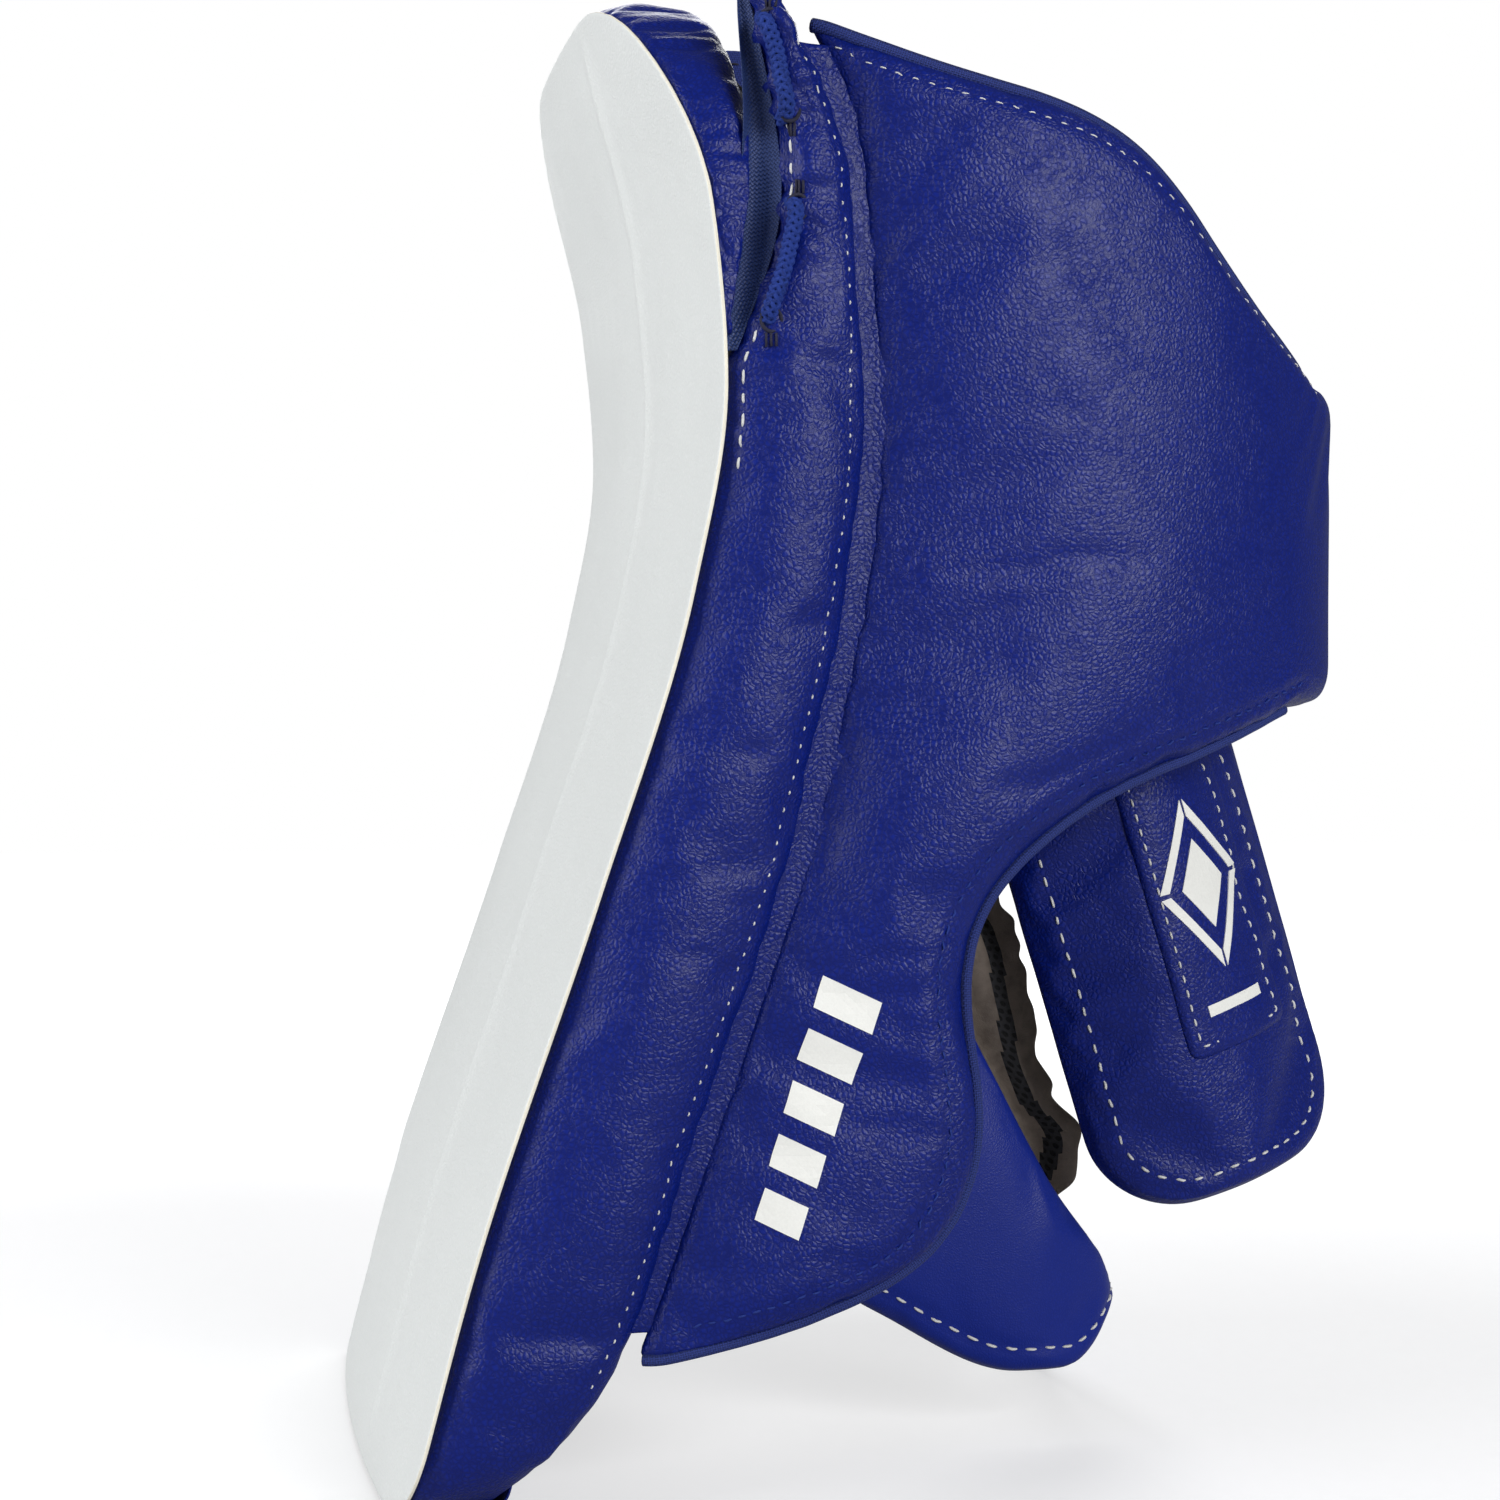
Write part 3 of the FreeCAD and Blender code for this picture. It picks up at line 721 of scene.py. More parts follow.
# ---- materials ---------------------------------------------------------------------------
class Nodes:
    """Short way to build a material's node tree."""

    def __init__(self, name):
        self.material = bpy.data.materials.new(name)
        self.material.use_nodes = True
        self.tree = self.material.node_tree
        self.shader = self.tree.nodes["Principled BSDF"]
        self.coords = self.tree.nodes.new("ShaderNodeTexCoord")

    def put(self, socket, value):
        if isinstance(value, bpy.types.NodeSocket):
            self.tree.links.new(value, socket)
        else:
            socket.default_value = value

    def add(self, kind, inputs=None, **settings):
        node = self.tree.nodes.new("ShaderNode" + kind)
        for key, value in settings.items():
            setattr(node, key, value)
        for key, value in (inputs or {}).items():
            self.put(node.inputs[key], value)
        return node

    def math(self, operation, a, b=0.0, c=0.0):
        return self.add("Math", {0: a, 1: b, 2: c}, operation=operation).outputs[0]

    def noise(self, scale, detail=2.0, roughness=0.5):
        node = self.add("TexNoise", {"Scale": scale, "Detail": detail, "Roughness": roughness,
                                     "Vector": self.coords.outputs["Object"]})
        return node.outputs["Fac"]

    def ramp(self, fac, *stops):
        node = self.add("ValToRGB", {"Fac": fac})
        elements = node.color_ramp.elements
        while len(elements) < len(stops):
            elements.new(0.5)
        for element, (position, colour) in zip(elements, stops):
            element.position, element.color = position, (*colour, 1)
        return node.outputs["Color"]

    def mix(self, fac, a, b):
        node = self.add("Mix", data_type="RGBA")
        self.put(node.inputs[0], fac)
        self.put(node.inputs[6], a if isinstance(a, bpy.types.NodeSocket) else (*a, 1))
        self.put(node.inputs[7], b if isinstance(b, bpy.types.NodeSocket) else (*b, 1))
        return node.outputs[2]

    def scaled(self, colour, factor):
        node = self.add("VectorMath", {0: colour}, operation="SCALE")
        self.put(node.inputs["Scale"], factor)
        return node.outputs[0]

    def bump(self, height, distance_mm, strength=1.0, below=None):
        node = self.add("Bump", {"Height": height, "Distance": distance_mm * MM, "Strength": strength})
        if below is not None:
            self.put(node.inputs["Normal"], below)
        return node.outputs["Normal"]

    def finish(self, **inputs):
        for key, value in inputs.items():
            self.put(self.shader.inputs[key.replace("_", " ")], value)
        return self.material


def leather(name, colour, crease_shade, cell, depth, roughness, variation=0.05):
    """Coated leather: pebbles between fine creases, the creases painted darker as painted shade, over soft
    large unevenness. cell and depth in mm.
    """
    n = Nodes(name)
    size = cell * MM
    wobble = n.add("TexNoise", {"Scale": 0.4 / size, "Detail": 2.0, "Vector": n.coords.outputs["Object"]})
    offset = n.add("VectorMath", {0: wobble.outputs["Color"], 1: (size * 1.3,) * 3}, operation="MULTIPLY")
    warped = n.add("VectorMath", {0: n.coords.outputs["Object"], 1: offset.outputs[0]}, operation="ADD")
    cells = n.add("TexVoronoi", {"Scale": 1 / size, "Randomness": 0.95, "Vector": warped.outputs[0]},
                  feature="DISTANCE_TO_EDGE")
    pebble = n.math("SMOOTH_MIN", n.math("MULTIPLY", cells.outputs["Distance"], 2.6), 1.0, 0.5)
    patch = n.noise(0.11 / size, 3)
    relief = n.math("MULTIPLY", pebble, n.math("MULTIPLY_ADD", patch, 1.3, 0.15))
    normal = n.bump(n.noise(4 / size, 4), depth * 0.35, 1.0, n.bump(relief, depth))
    # painted shade: the grain's creases are mixed up to 60% towards the darker second colour
    tint = n.mix(n.math("MULTIPLY_ADD", pebble, -0.55, 0.6), colour, crease_shade)
    shade = n.math("MULTIPLY_ADD", n.noise(22, 3), variation * 2, 1 - variation)
    return n.finish(Base_Color=n.scaled(tint, shade), Normal=normal, Specular_IOR_Level=0.27,
                    Roughness=n.math("MULTIPLY_ADD", patch, 0.08, roughness - 0.04))


def woven(name, colour, gap_shade, pitch, depth, twill=False, roughness=0.8, sheen=0.2, turn=0.0):
    """Yarns going over and under each other, drawn on the piece's own flat cut, with painted shade between
    the yarns.
    """
    n = Nodes(name)
    turned = n.add("VectorRotate", {"Vector": n.coords.outputs["UV"], "Angle": turn}, rotation_type="Z_AXIS")
    parts = n.add("SeparateXYZ", {0: turned.outputs[0]})
    u = n.math("DIVIDE", parts.outputs[0], pitch * MM)
    v = n.math("DIVIDE", parts.outputs[1], pitch * MM)
    if twill:
        rib = n.math("ABSOLUTE", n.math("SINE", n.math("MULTIPLY", n.math("ADD", u, v), math.pi)))
        yarn = n.math("ABSOLUTE", n.math("SINE", n.math("MULTIPLY", v, 2.5 * math.pi)))
        height = n.math("MULTIPLY_ADD", yarn, 0.25, rib)
    else:
        over = n.math("ABSOLUTE", n.math("SINE", n.math("MULTIPLY", u, math.pi)))
        under = n.math("ABSOLUTE", n.math("SINE", n.math("MULTIPLY", v, math.pi)))
        check = n.math("PINGPONG", n.math("ADD", n.math("FLOOR", u), n.math("FLOOR", v)), 1.0)
        height = n.math("ADD", n.math("MULTIPLY", over, check),
                        n.math("MULTIPLY", under, n.math("SUBTRACT", 1.0, check)))
    fuzz = n.noise(2500, 3)
    # painted shade: the low parts between the yarns take the darker second colour
    tint = n.mix(n.math("MULTIPLY", height, n.math("MULTIPLY_ADD", fuzz, 0.4, 0.8)), gap_shade, colour)
    shade = n.math("MULTIPLY_ADD", n.noise(30, 2), 0.3, 0.85)
    return n.finish(Base_Color=n.scaled(tint, shade), Roughness=roughness,
                    Normal=n.bump(fuzz, depth * 0.3, 1.0, n.bump(height, depth)),
                    Sheen_Weight=sheen, Sheen_Roughness=0.5, Sheen_Tint=(*colour, 1))


def knit(name, colour, hole_shade, cell):
    """Air mesh: round eyes in rows, on the piece's own flat cut, the eyes painted dark as painted shade."""
    n = Nodes(name)
    parts = n.add("SeparateXYZ", {0: n.coords.outputs["UV"]})
    v = n.math("DIVIDE", parts.outputs[1], cell * 0.866 * MM)
    u = n.math("MULTIPLY_ADD", n.math("FLOOR", v), 0.5, n.math("DIVIDE", parts.outputs[0], cell * MM))
    du = n.math("SUBTRACT", n.math("FRACT", u), 0.5)
    dv = n.math("MULTIPLY", n.math("SUBTRACT", n.math("FRACT", v), 0.5), 0.9)
    r = n.math("SQRT", n.math("ADD", n.math("MULTIPLY", du, du), n.math("MULTIPLY", dv, dv)))
    eye = n.add("MapRange", {"Value": r, "From Min": 0.24, "From Max": 0.36}).outputs[0]
    fuzz = n.noise(1800, 4)
    # painted shade: the open eyes take the darker second colour
    tint = n.mix(n.math("MULTIPLY", eye, n.math("MULTIPLY_ADD", fuzz, 0.6, 0.6)), hole_shade, colour)
    normal = n.bump(n.math("MULTIPLY_ADD", fuzz, 0.2, eye), 0.4)
    return n.finish(Base_Color=tint, Roughness=0.9, Normal=normal, Sheen_Weight=0.3, Sheen_Tint=(*colour, 1))


def napped(name, colour, dark, scale=900, patches=25):
    """Suede or loop pile: short fibres brushed different ways."""
    n = Nodes(name)
    fibre = n.noise(scale * 3, 5, 0.7)
    clump = n.noise(scale * 0.35, 4)
    both = n.math("MULTIPLY_ADD", n.noise(patches, 4), 0.6, n.math("MULTIPLY", clump, 0.45))
    light = tuple(min(1, c * 1.45) for c in colour)
    tint = n.ramp(both, (0.25, dark), (0.5, colour), (0.8, light))
    return n.finish(Base_Color=tint, Roughness=0.95, Normal=n.bump(clump, 0.6, 0.7, n.bump(fibre, 0.25)),
                    Sheen_Weight=0.6, Sheen_Roughness=0.4,
                    Sheen_Tint=(*(min(1, c * 2.2) for c in colour), 1), Specular_IOR_Level=0.2)


def plain(name, colour, roughness, grain=800, depth=0.05, variation=0.1):
    """Moulded, foamed or painted surface with a fine grain and slight unevenness."""
    n = Nodes(name)
    fine = n.noise(grain, 5, 0.65)
    shade = n.math("MULTIPLY_ADD", n.noise(35, 3), variation * 2, 1 - variation)
    factor = n.math("MULTIPLY", shade, n.math("MULTIPLY_ADD", fine, 0.16, 0.92))
    return n.finish(Base_Color=n.scaled(colour, factor), Roughness=roughness, Normal=n.bump(fine, depth))


# the second colour of each leather is painted shade for its grain creases
blue = leather("blue_leather", (0.0022, 0.014, 0.215), (0.001, 0.004, 0.07), 1.3, 0.15, 0.37)
smooth_blue = leather("blue_smooth_leather", (0.003, 0.017, 0.235), (0.002, 0.012, 0.17), 0.8, 0.05, 0.42)
white = leather("white_leather", (0.83, 0.85, 0.84), (0.76, 0.785, 0.775), 1.3, 0.13, 0.45, 0.02)
raw_edge = plain("cream_cut_edge", (0.86, 0.82, 0.70), 0.85, 1500, 0.2)
# the second colour of each woven is painted shade between its yarns
navy = woven("navy_nylon", (0.022, 0.05, 0.19), (0.004, 0.01, 0.05), 0.75, 0.16, roughness=0.55, turn=0.6)
# the second colour of each air mesh is painted shade in its eyes
lining = knit("black_air_mesh", (0.028, 0.028, 0.032), (0.004, 0.004, 0.005), 2.6)
back_knit = knit("charcoal_air_mesh", (0.05, 0.05, 0.056), (0.008, 0.008, 0.01), 3.2)
twill = woven("taupe_twill", (0.16, 0.115, 0.09), (0.03, 0.022, 0.018), 1.25, 0.22, twill=True)
suede = napped("taupe_suede", (0.20, 0.165, 0.14), (0.07, 0.056, 0.047))
pile = napped("hook_and_loop", (0.035, 0.035, 0.038), (0.008, 0.008, 0.009), 1500, patches=60)
webbing = woven("black_webbing", (0.045, 0.045, 0.05), (0.008, 0.008, 0.01), 1.6, 0.3)
foam = plain("grey_foam", (0.26, 0.26, 0.28), 0.95, 700, 0.35)
plate = plain("black_stiffener", (0.03, 0.03, 0.033), 0.5, 1200, 0.06)
thread = woven("white_thread", (0.82, 0.82, 0.80), (0.5, 0.5, 0.5), 0.28, 0.05, twill=True, sheen=0.1)
dark_thread = woven("dark_thread", (0.02, 0.02, 0.05), (0.005, 0.005, 0.01), 0.3, 0.05, twill=True)
blue_thread = woven("blue_thread", (0.01, 0.04, 0.30), (0.004, 0.01, 0.10), 0.28, 0.05, twill=True)
braid = woven("blue_braid", (0.007, 0.04, 0.30), (0.002, 0.010, 0.10), 0.32, 0.07, twill=True, sheen=0.3)
binding = woven("navy_binding", (0.015, 0.035, 0.22), (0.004, 0.01, 0.08), 0.6, 0.15)
paint = plain("white_print", (0.84, 0.84, 0.80), 0.5, 1500, 0.04)
for node, material in {"face_foam": foam, "back_foam": foam, "stiffener_plate": plate}.items():
    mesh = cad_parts[node].data
    mesh.materials.clear()
    mesh.materials.append(material)


# ---- the board -----------------------------------------------------------------------------
RIDGE = [(-34, 372), (-24, 310), (-27, 240), (-30, 150), (-32, 60), (-33, 10)]    # (y, z)


def make_face():
    """White leather over the whole face, with the slight ridge of the foam joint below it."""
    cut = Cut(rounded(-HALF, HALF, 0, TOP, FINGER_R, CUFF_R), 2.6, (0.5, 1.2))
    y, z = cut.p.T
    raised = 1.1 * np.exp(-(gap_to(spline(RIDGE, 300), cut.p) / 2.8)**2)
    place = board(y, z, 0)
    uneven = 0.35 * ripple(place, 70, 3) + 0.12 * ripple(place, 22, 4)
    lift = (raised + uneven) * np.clip(cut.near / 12, 0, 1) - 0.25 * (1 - eased(cut.near, 1.6))
    outer = board(y, z, -lift)
    obj = cut.piece("face_leather", outer, board(y, z, COVER - 0.05), white, 0.1, rim_material=raw_edge)
    declare_sheet(outer, cut.size * [1, 1.05])
    return dress(refine(obj), "board", "white_leather", "face_cover")


def make_back_lining():
    side = HALF - SIDE_WALL - 0.4
    cut = Cut(rounded(-side, side, 2, TOP - SIDE_WALL - 0.4, 14, 55), 6, (1, 3))
    y, z = cut.p.T
    lift = 0.35 * ripple(board(y, z, CORE_BACK), 40, 11) * np.clip(cut.near / 10, 0, 1)
    outer = board(y, z, CORE_BACK + 0.1 + lift)
    obj = cut.piece("back_lining", outer, board(y, z, CORE_BACK - 1.05), lining)
    declare_sheet(outer, cut.size * [1, 1.06])
    return dress(refine(obj), "board", "lining_knit", "board_lining")


def rim_route(start_z, count, inset=0.0):
    """Along the board's edge from the near side, round the cuff end, to the far side: (y, z)."""
    r, half, top = CUFF_R - inset, HALF - inset, TOP - inset
    path = np.concatenate([[(-half, start_z)], arc((r - half, top - r), r, 180, 90, 20),
                           arc((half - r, top - r), r, 90, 0, 20), [(half, start_z)]])
    return resample(path, count)


def make_cuff_rim():
    """Crinkled padded leather round the cuff end, which thins away down both sides."""
    count, start_z = 190, EDGE_BAND[0][0]
    route, inner_route = rim_route(start_z, count), rim_route(start_z, count, SIDE_WALL)
    v = clustered(0, 1, 13)
    front = COVER + 0.25
    back = np.maximum(smooth(EDGE_BAND, route[:, 1]), front + 1.2)
    depth = front + (back - front)[:, None] * v
    swell = 1.6 * 4 * v * (1 - v) * np.clip((back - front) / 10, 0, 1)[:, None]
    out = beside(route, 1) - route
    outer_yz = route[:, None] + swell[..., None] * out[:, None]
    inner_yz = np.broadcast_to(inner_route[:, None], outer_yz.shape)
    outer = board(outer_yz[..., 0], outer_yz[..., 1], depth)
    inner = board(inner_yz[..., 0], inner_yz[..., 1], depth)
    obj = cushion_grid("cuff_rim", outer, inner, blue, 3.5, 5.5, 0.4)
    return inflate(obj, border_held(depth.shape), 2.5, 5, 0.05)


def make_finger_cap():
    """Leather that wraps the finger end, from behind the face to the back lining."""
    y = np.linspace(-92.6, 92.6, 90)
    floor_line = corner_inset(HALF - np.abs(y)) - 0.6
    profile = np.concatenate([[(1.5, 0.6)], arc((3.2, 1.3), 1.7, 225, 270, 4), [(12, -0.4), (20, -0.4)],
                              arc((CORE_BACK - 2.2, 3.0), 3.4, 270, 360, 7), [(CORE_BACK + 1.0, 15)]])
    profile = resample(profile, 26)
    inner_profile = beside(profile, 0.9)
    grids = []
    for line in (profile, inner_profile):
        z = floor_line[:, None] + line[None, :, 1]
        grids.append(board(y[:, None], z, line[None, :, 0]))
    obj = shell("finger_end_cap", *grids, blue, 0.2)
    declare_sheet(grids[0])
    return dress(refine(obj), "board", "blue_leather")


# ---- side rolls ------------------------------------------------------------------------------
LACE_W = 0.14                  # where across the roll the laces lie


def make_roll(side, mirror):
    z, w = mesh_grid(np.linspace(ROLL_LOW, ROLL_TOP, 122), clustered(0, 1, 17))
    outer = roll(z, w, 1.2, mirror)
    inner = outer.copy()
    inner[..., 1] = -mirror * (HALF - SIDE_WALL)
    obj = cushion_grid("side_roll_" + side, outer, inner, blue, 4.5, 2.5, 0.55, 0.4)
    held = border_held(z.shape)
    held[:, 1] = True
    for end in np.ravel(LACES):
        held |= np.hypot(z - end, (w - LACE_W) * 30) < 3.2
    return inflate(obj, held, 3.5, 4, 0.01)


def make_gusset(side, mirror):
    """Woven wedge between the rim and the roll, folded inwards along its middle."""
    z, w = mesh_grid(np.linspace(280, 366, 44), np.linspace(0, 1, 15))
    start = board(-HALF, z, np.maximum(smooth(EDGE_BAND, z) - 2.2, COVER + 0.3))[..., 0]
    wide = roll_front(z) + 0.5 - start
    fold = np.sin(math.pi * w**0.8) * np.minimum(5.0, wide * 0.45)
    y = -HALF + 2.2 + fold + 0.5 * np.sin(z / 7 + 4 * w)
    outer = points(start + wide * w, mirror * y, z)
    obj = shell("gusset_cloth_" + side, outer, outer + [0, mirror * 0.7, 0], navy, 0.15)
    declare_sheet(outer)
    return dress(refine(obj), "board", "navy_nylon", "gusset_" + side)


def make_laces(side, mirror, skin):
    """Two short braided lengths that come out of one hole and go back into the next."""
    strands, holes, tacks = [], [], []
    for low, high in LACES:
        top = skin.lay([roll(q, LACE_W, -2, mirror) for q in np.linspace(low, high, 4)], 2.1)
        path = spline([top[0] + [0, mirror * 5, -3], *top, top[-1] + [0, mirror * 5, 3]], 90)
        tangent = directions(path)
        side_way = np.cross(tangent, [0, 1, 0])
        side_way /= np.linalg.norm(side_way, axis=1, keepdims=True)
        other = np.cross(tangent, side_way)
        s = np.linspace(0, length_of(path), len(path))
        for k in range(8):
            way = 1 if k % 2 else -1
            a = way * 2 * math.pi * s / 7.5 + k * math.pi / 4
            r = 1.15 + 0.18 * np.cos(4 * a * way + (k % 2) * math.pi)
            spread = side_way * np.cos(a)[:, None] * 1.25 + other * np.sin(a)[:, None]
            strands.append(path + spread * r[:, None])
        for end, way in ((top[0], -1), (top[-1], 1)):
            spot, _ = skin.near(end + [0, 0, way * 1.5])
            turn = np.linspace(0, 2 * math.pi, 16, endpoint=False)
            holes.append(spot + points(2.5 * np.cos(turn), 0, 2.9 * np.sin(turn)))
            tacks += [[skin.near(spot + [k * 1.3, 0, way * (3.2 + t)], 0.25)[0] for t in (0, 1.6, 3.2)]
                      for k in (-1, 0, 1)]
    dress(tubes("lace_braid_" + side, strands, [0.62] * len(strands), braid, 6), "board", "lace_braid",
          "lace_" + side)
    dress(tubes("lace_holes_" + side, holes, [0.5] * len(holes), dark_thread, 6, True), "board", "thread")
    dress(tubes("lace_tacks_" + side, tacks, [0.32] * len(tacks), dark_thread, 6), "board", "thread")


def dress_roll(obj, side, mirror):
    z = np.linspace(ROLL_LOW + 4, ROLL_TOP - 3, 200)
    hem, rear = roll(z, 0.07, 0, mirror), roll(z, 0.9, 0, mirror)
    press(obj, rear, 1.3, 0.6)
    pucker(obj, hem[z > 255], 10, 8, 1.0, 15)
    pucker(obj, rear, 9, 5, 0.15, 16)
    crumple(obj, 60, 0.25, 17)
    dress(obj, "board", "blue_leather", "side_roll_cover_" + side, "side_roll_foam_" + side)
    skin = Skin(obj)
    stitches("roll_hem_stitches_" + side, hem[z > 250], skin, "board", 3.0, 2.0, 0.34)
    stitches("roll_rear_stitches_" + side, rear[z > 30], skin, "board", 1.0, 3.0, 0.24)
    make_gusset(side, mirror)
    make_laces(side, mirror, skin)


# ---- the side shield ---------------------------------------------------------------------------
ANGLE_MM = 1.5                 # flat millimetres of the shield's cut for each degree round it


def shield_line(knots, count):
    """Turns (x, z) knots of the side view into a smooth line on the shield's flat cut."""
    line = spline(knots, count)
    return np.stack([shield_angle(line[:, 0], line[:, 1]) * ANGLE_MM, line[:, 1]], 1)


def shield_borders():
    """Seam, top, wrist end and lower border of the shield, on its flat cut."""
    seam = [(float(smooth(ROLL_BACK, z)) + SEAM_GAP, z) for z in np.linspace(37, 362, 12)]
    end, r = BAND_END * ANGLE_MM, 7
    tip = np.concatenate([arc((end - r, BAND_HIGH - r), r, 90, 0, 6),
                          arc((end - r, BAND_LOW + r), r, 0, -90, 6)])
    return (shield_line(seam, 120), shield_line([seam[-1]] + WING_TOP, 60), tip,
            shield_line([seam[0]] + LOBE_LOW, 110))


def on_shield(line, depth=0.0):
    return shield(line[:, 0] / ANGLE_MM, line[:, 1], depth)


def make_shield(seam, top, tip, low):
    cut = Cut(np.concatenate([seam, top[1:], tip, low[::-1][:-1]]), 3.6)
    valley = 3.5 * np.exp(-(gap_to(seam, cut.p) / 12)**2)
    outer, inner = on_shield(cut.p, 1.2 + valley), on_shield(cut.p, SHIELD_DEEP)
    obj = cut.pad("side_shield_pad", outer, inner, blue, 9, 2.8, 0.75, 0.8)
    inflate(obj, cut.near < 0.1, 4.5, 5, 0.015)
    return obj, cut


def dress_shield(obj, seam, top, tip, low):
    low_in, top_in = beside(low, 6)[4:], beside(top, -4)[3:]
    press(obj, on_shield(low_in), 1.5, 1.1)
    press(obj, on_shield(top_in), 1.6, 0.8)
    pucker(obj, on_shield(seam), 10, 6, 0.2, 5)
    pucker(obj, on_shield(low), 11, 6, 0.12, 6)
    crumple(obj, 70, 0.3, 8)
    dress(obj, "side_shield", "blue_leather", "shield_cover", "shield_foam", "shield_plate")
    skin = Skin(obj)
    stitches("shield_lobe_stitches", on_shield(low_in), skin, "side_shield", 2.2, 1.6, 0.26, blue_thread)
    stitches("shield_wing_stitches", on_shield(top_in), skin, "side_shield", 1.8, 2.4, 0.19)
    piping("shield_lobe_piping", on_shield(low, 7), skin, "side_shield", 1.5, 0.6)
    piping("shield_wing_binding", on_shield(np.concatenate([top, tip]), 7), skin, "side_shield", 1.8, 0.5)
    make_lobe_mark(skin)


def make_lobe_mark(skin):
    """Five slanted bars, a plain mark, up the lobe."""
    start, way = np.array([89.0, 69.0]), np.array([0.32, 0.95])
    across, bars = np.array([0.90, -0.44]), []
    for k in range(5):
        low = start + way * 13 * k
        half = across * (5.5 + 0.5 * k)
        bars.append([low - half, low + half, low + half + way * 8, low - half + way * 8])
    print_on("lobe_mark", bars, lambda x, z: shield(shield_angle(x, z), z, -2), (0, 1, 0), skin,
             "side_shield")


def make_shield_lining(cut):
    keep = np.clip(cut.near / 3, 0, 1)
    wave = 0.3 * ripple(on_shield(cut.p), 26, 21) * keep
    outer = on_shield(cut.p, SHIELD_DEEP + 1.4 + wave - 1.0 * (1 - keep))
    obj = cut.piece("shield_lining", outer, on_shield(cut.p, SHIELD_DEEP + 0.35 - 0.9 * (1 - keep)), lining)
    declare_sheet(outer, cut.size)
    return dress(refine(obj), "side_shield", "lining_knit", "shield_liner")


def make_seam_strip(seam):
    """Leather strip that hinges the shield to the near roll."""
    z = resample(seam, 90)[2:-2, 1]
    on_roll = roll(z, 1.0, 3.0) + [-2.5, 0, 0]
    on_pad = shield(shield_angle(smooth(ROLL_BACK, z) + SEAM_GAP + 6, z), z, 7.0)
    t = np.linspace(0, 1, 9)[None, :, None]
    grid = on_roll[:, None] * (1 - t) + on_pad[:, None] * t
    grid[..., 1] += 1.2 * np.sin(math.pi * t[..., 0])
    obj = shell("shield_hinge_strip", grid, grid + [0, 1.1, 0], blue, 0.2)
    declare_sheet(grid)
    refine(obj)
    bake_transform(obj)


# ---- the thumb -----------------------------------------------------------------------------------
def stall_start():
    """Top of the thumb stall's middle line."""
    start = thumb(0, -5, 0)
    curl = THUMB_CURL * (THUMB_STALL_W - CURL_START)**2
    start[1] = THUMB_BASE[1] + curl + THUMB_DEEP + THUMB_LINING + STALL_R + GAP
    return start


def make_thumb():
    cut = Cut(rounded(-THUMB_HALF, THUMB_HALF, -THUMB_LENGTH, 4, 22, 5), 3.4)
    w, s = cut.p[:, 0], -cut.p[:, 1]
    obj = cut.pad("thumb_flap_pad", thumb(s, w, 0.9), thumb(s, w, THUMB_DEEP), blue, 7, 3.4, 0.5, 1.6)
    inflate(obj, cut.near < 0.1, 3.5, 4.5, 0.02)
    keep = np.clip(cut.near / 4, 0, 1)
    wave = 0.25 * ripple(thumb(s, w, THUMB_DEEP), 24, 31) * keep
    outer = thumb(s, w, THUMB_DEEP + THUMB_LINING + wave - 2.2 * (1 - keep))
    back = cut.piece("thumb_lining", outer, thumb(s, w, THUMB_DEEP + 0.3 - 2.2 * (1 - keep)), lining)
    declare_sheet(outer, cut.size * [1.1, 1])
    dress(refine(back), "thumb", "lining_knit", "thumb_liner")
    return obj


def on_thumb(line, depth=0.0):
    return thumb(-line[:, 1], line[:, 0], depth)


PATCH = (-9.0, 24.5, -112.0, -22.0)    # left, right, lowest and highest on the thumb's flat cut


def diamond(centre, size, inner=0.0):
    """Diamond outline, or the four bars between it and a smaller one."""
    corner = [np.array(centre) + np.array([size * 0.8 * math.cos(t), size * 1.35 * math.sin(t)])
              for t in (0, math.pi / 2, math.pi, 1.5 * math.pi)]
    if not inner:
        return [corner]
    sides = [(a + (b - a) * 0.03, b + (a - b) * 0.03) for a, b in zip(corner, corner[1:] + corner[:1])]
    return [[a, b, centre + (b - centre) * inner, centre + (a - centre) * inner] for a, b in sides]


def dress_thumb(obj):
    inset = 6
    edge = rounded(inset - THUMB_HALF, THUMB_HALF - inset, inset - THUMB_LENGTH, 0, 22 - inset, 3)
    hem = np.vstack([edge[-1:], edge[:25]])
    press(obj, on_thumb(hem), 1.3, 0.7)
    crumple(obj, 45, 0.2, 41)
    dress(obj, "thumb", "blue_leather", "thumb_cover", "thumb_foam", "thumb_plate")
    skin = Skin(obj)
    stitches("thumb_edge_stitches", on_thumb(resample(hem, 160)), skin, "thumb", 2.6, 2.4)
    left, right, low, high = PATCH
    cut = Cut(rounded(left, right, low, high, 1.5, 1.5), 3.0, (0.8, 2.0))
    base = [skin.cast(p, (0, 1, 0)) for p in on_thumb(cut.p)]
    rest, normal = np.array([hit for hit, _ in base]), np.array([n for _, n in base])
    raised = 0.5 + 1.1 * eased(cut.near, 3.5) - 0.5 * np.exp(-((cut.near - 3.2) / 0.9)**2)
    patch = cut.piece("thumb_panel", rest + normal * raised[:, None], rest - normal * 0.3, blue, 0.3)
    dress(refine(patch), "thumb", "blue_leather", "thumb_patch")
    top = Skin(patch)
    ring = looped(rounded(left + 3.2, right - 3.2, low + 3.2, high - 3.2, 0.8, 0.8))
    stitches("thumb_panel_stitches", on_thumb(ring, -2), top, "thumb", 2.2, 1.8, 0.3)
    middle = np.array([(left + right) / 2, -68.0])
    bar = [middle + q for q in ((-9, -31), (9, -31), (9, -34), (-9, -34))]
    print_on("thumb_mark", diamond(middle, 17.5, 0.8) + diamond(middle, 9) + [bar],
             lambda a, b: thumb(-b, a, -2), (0, 1, 0), top, "thumb")


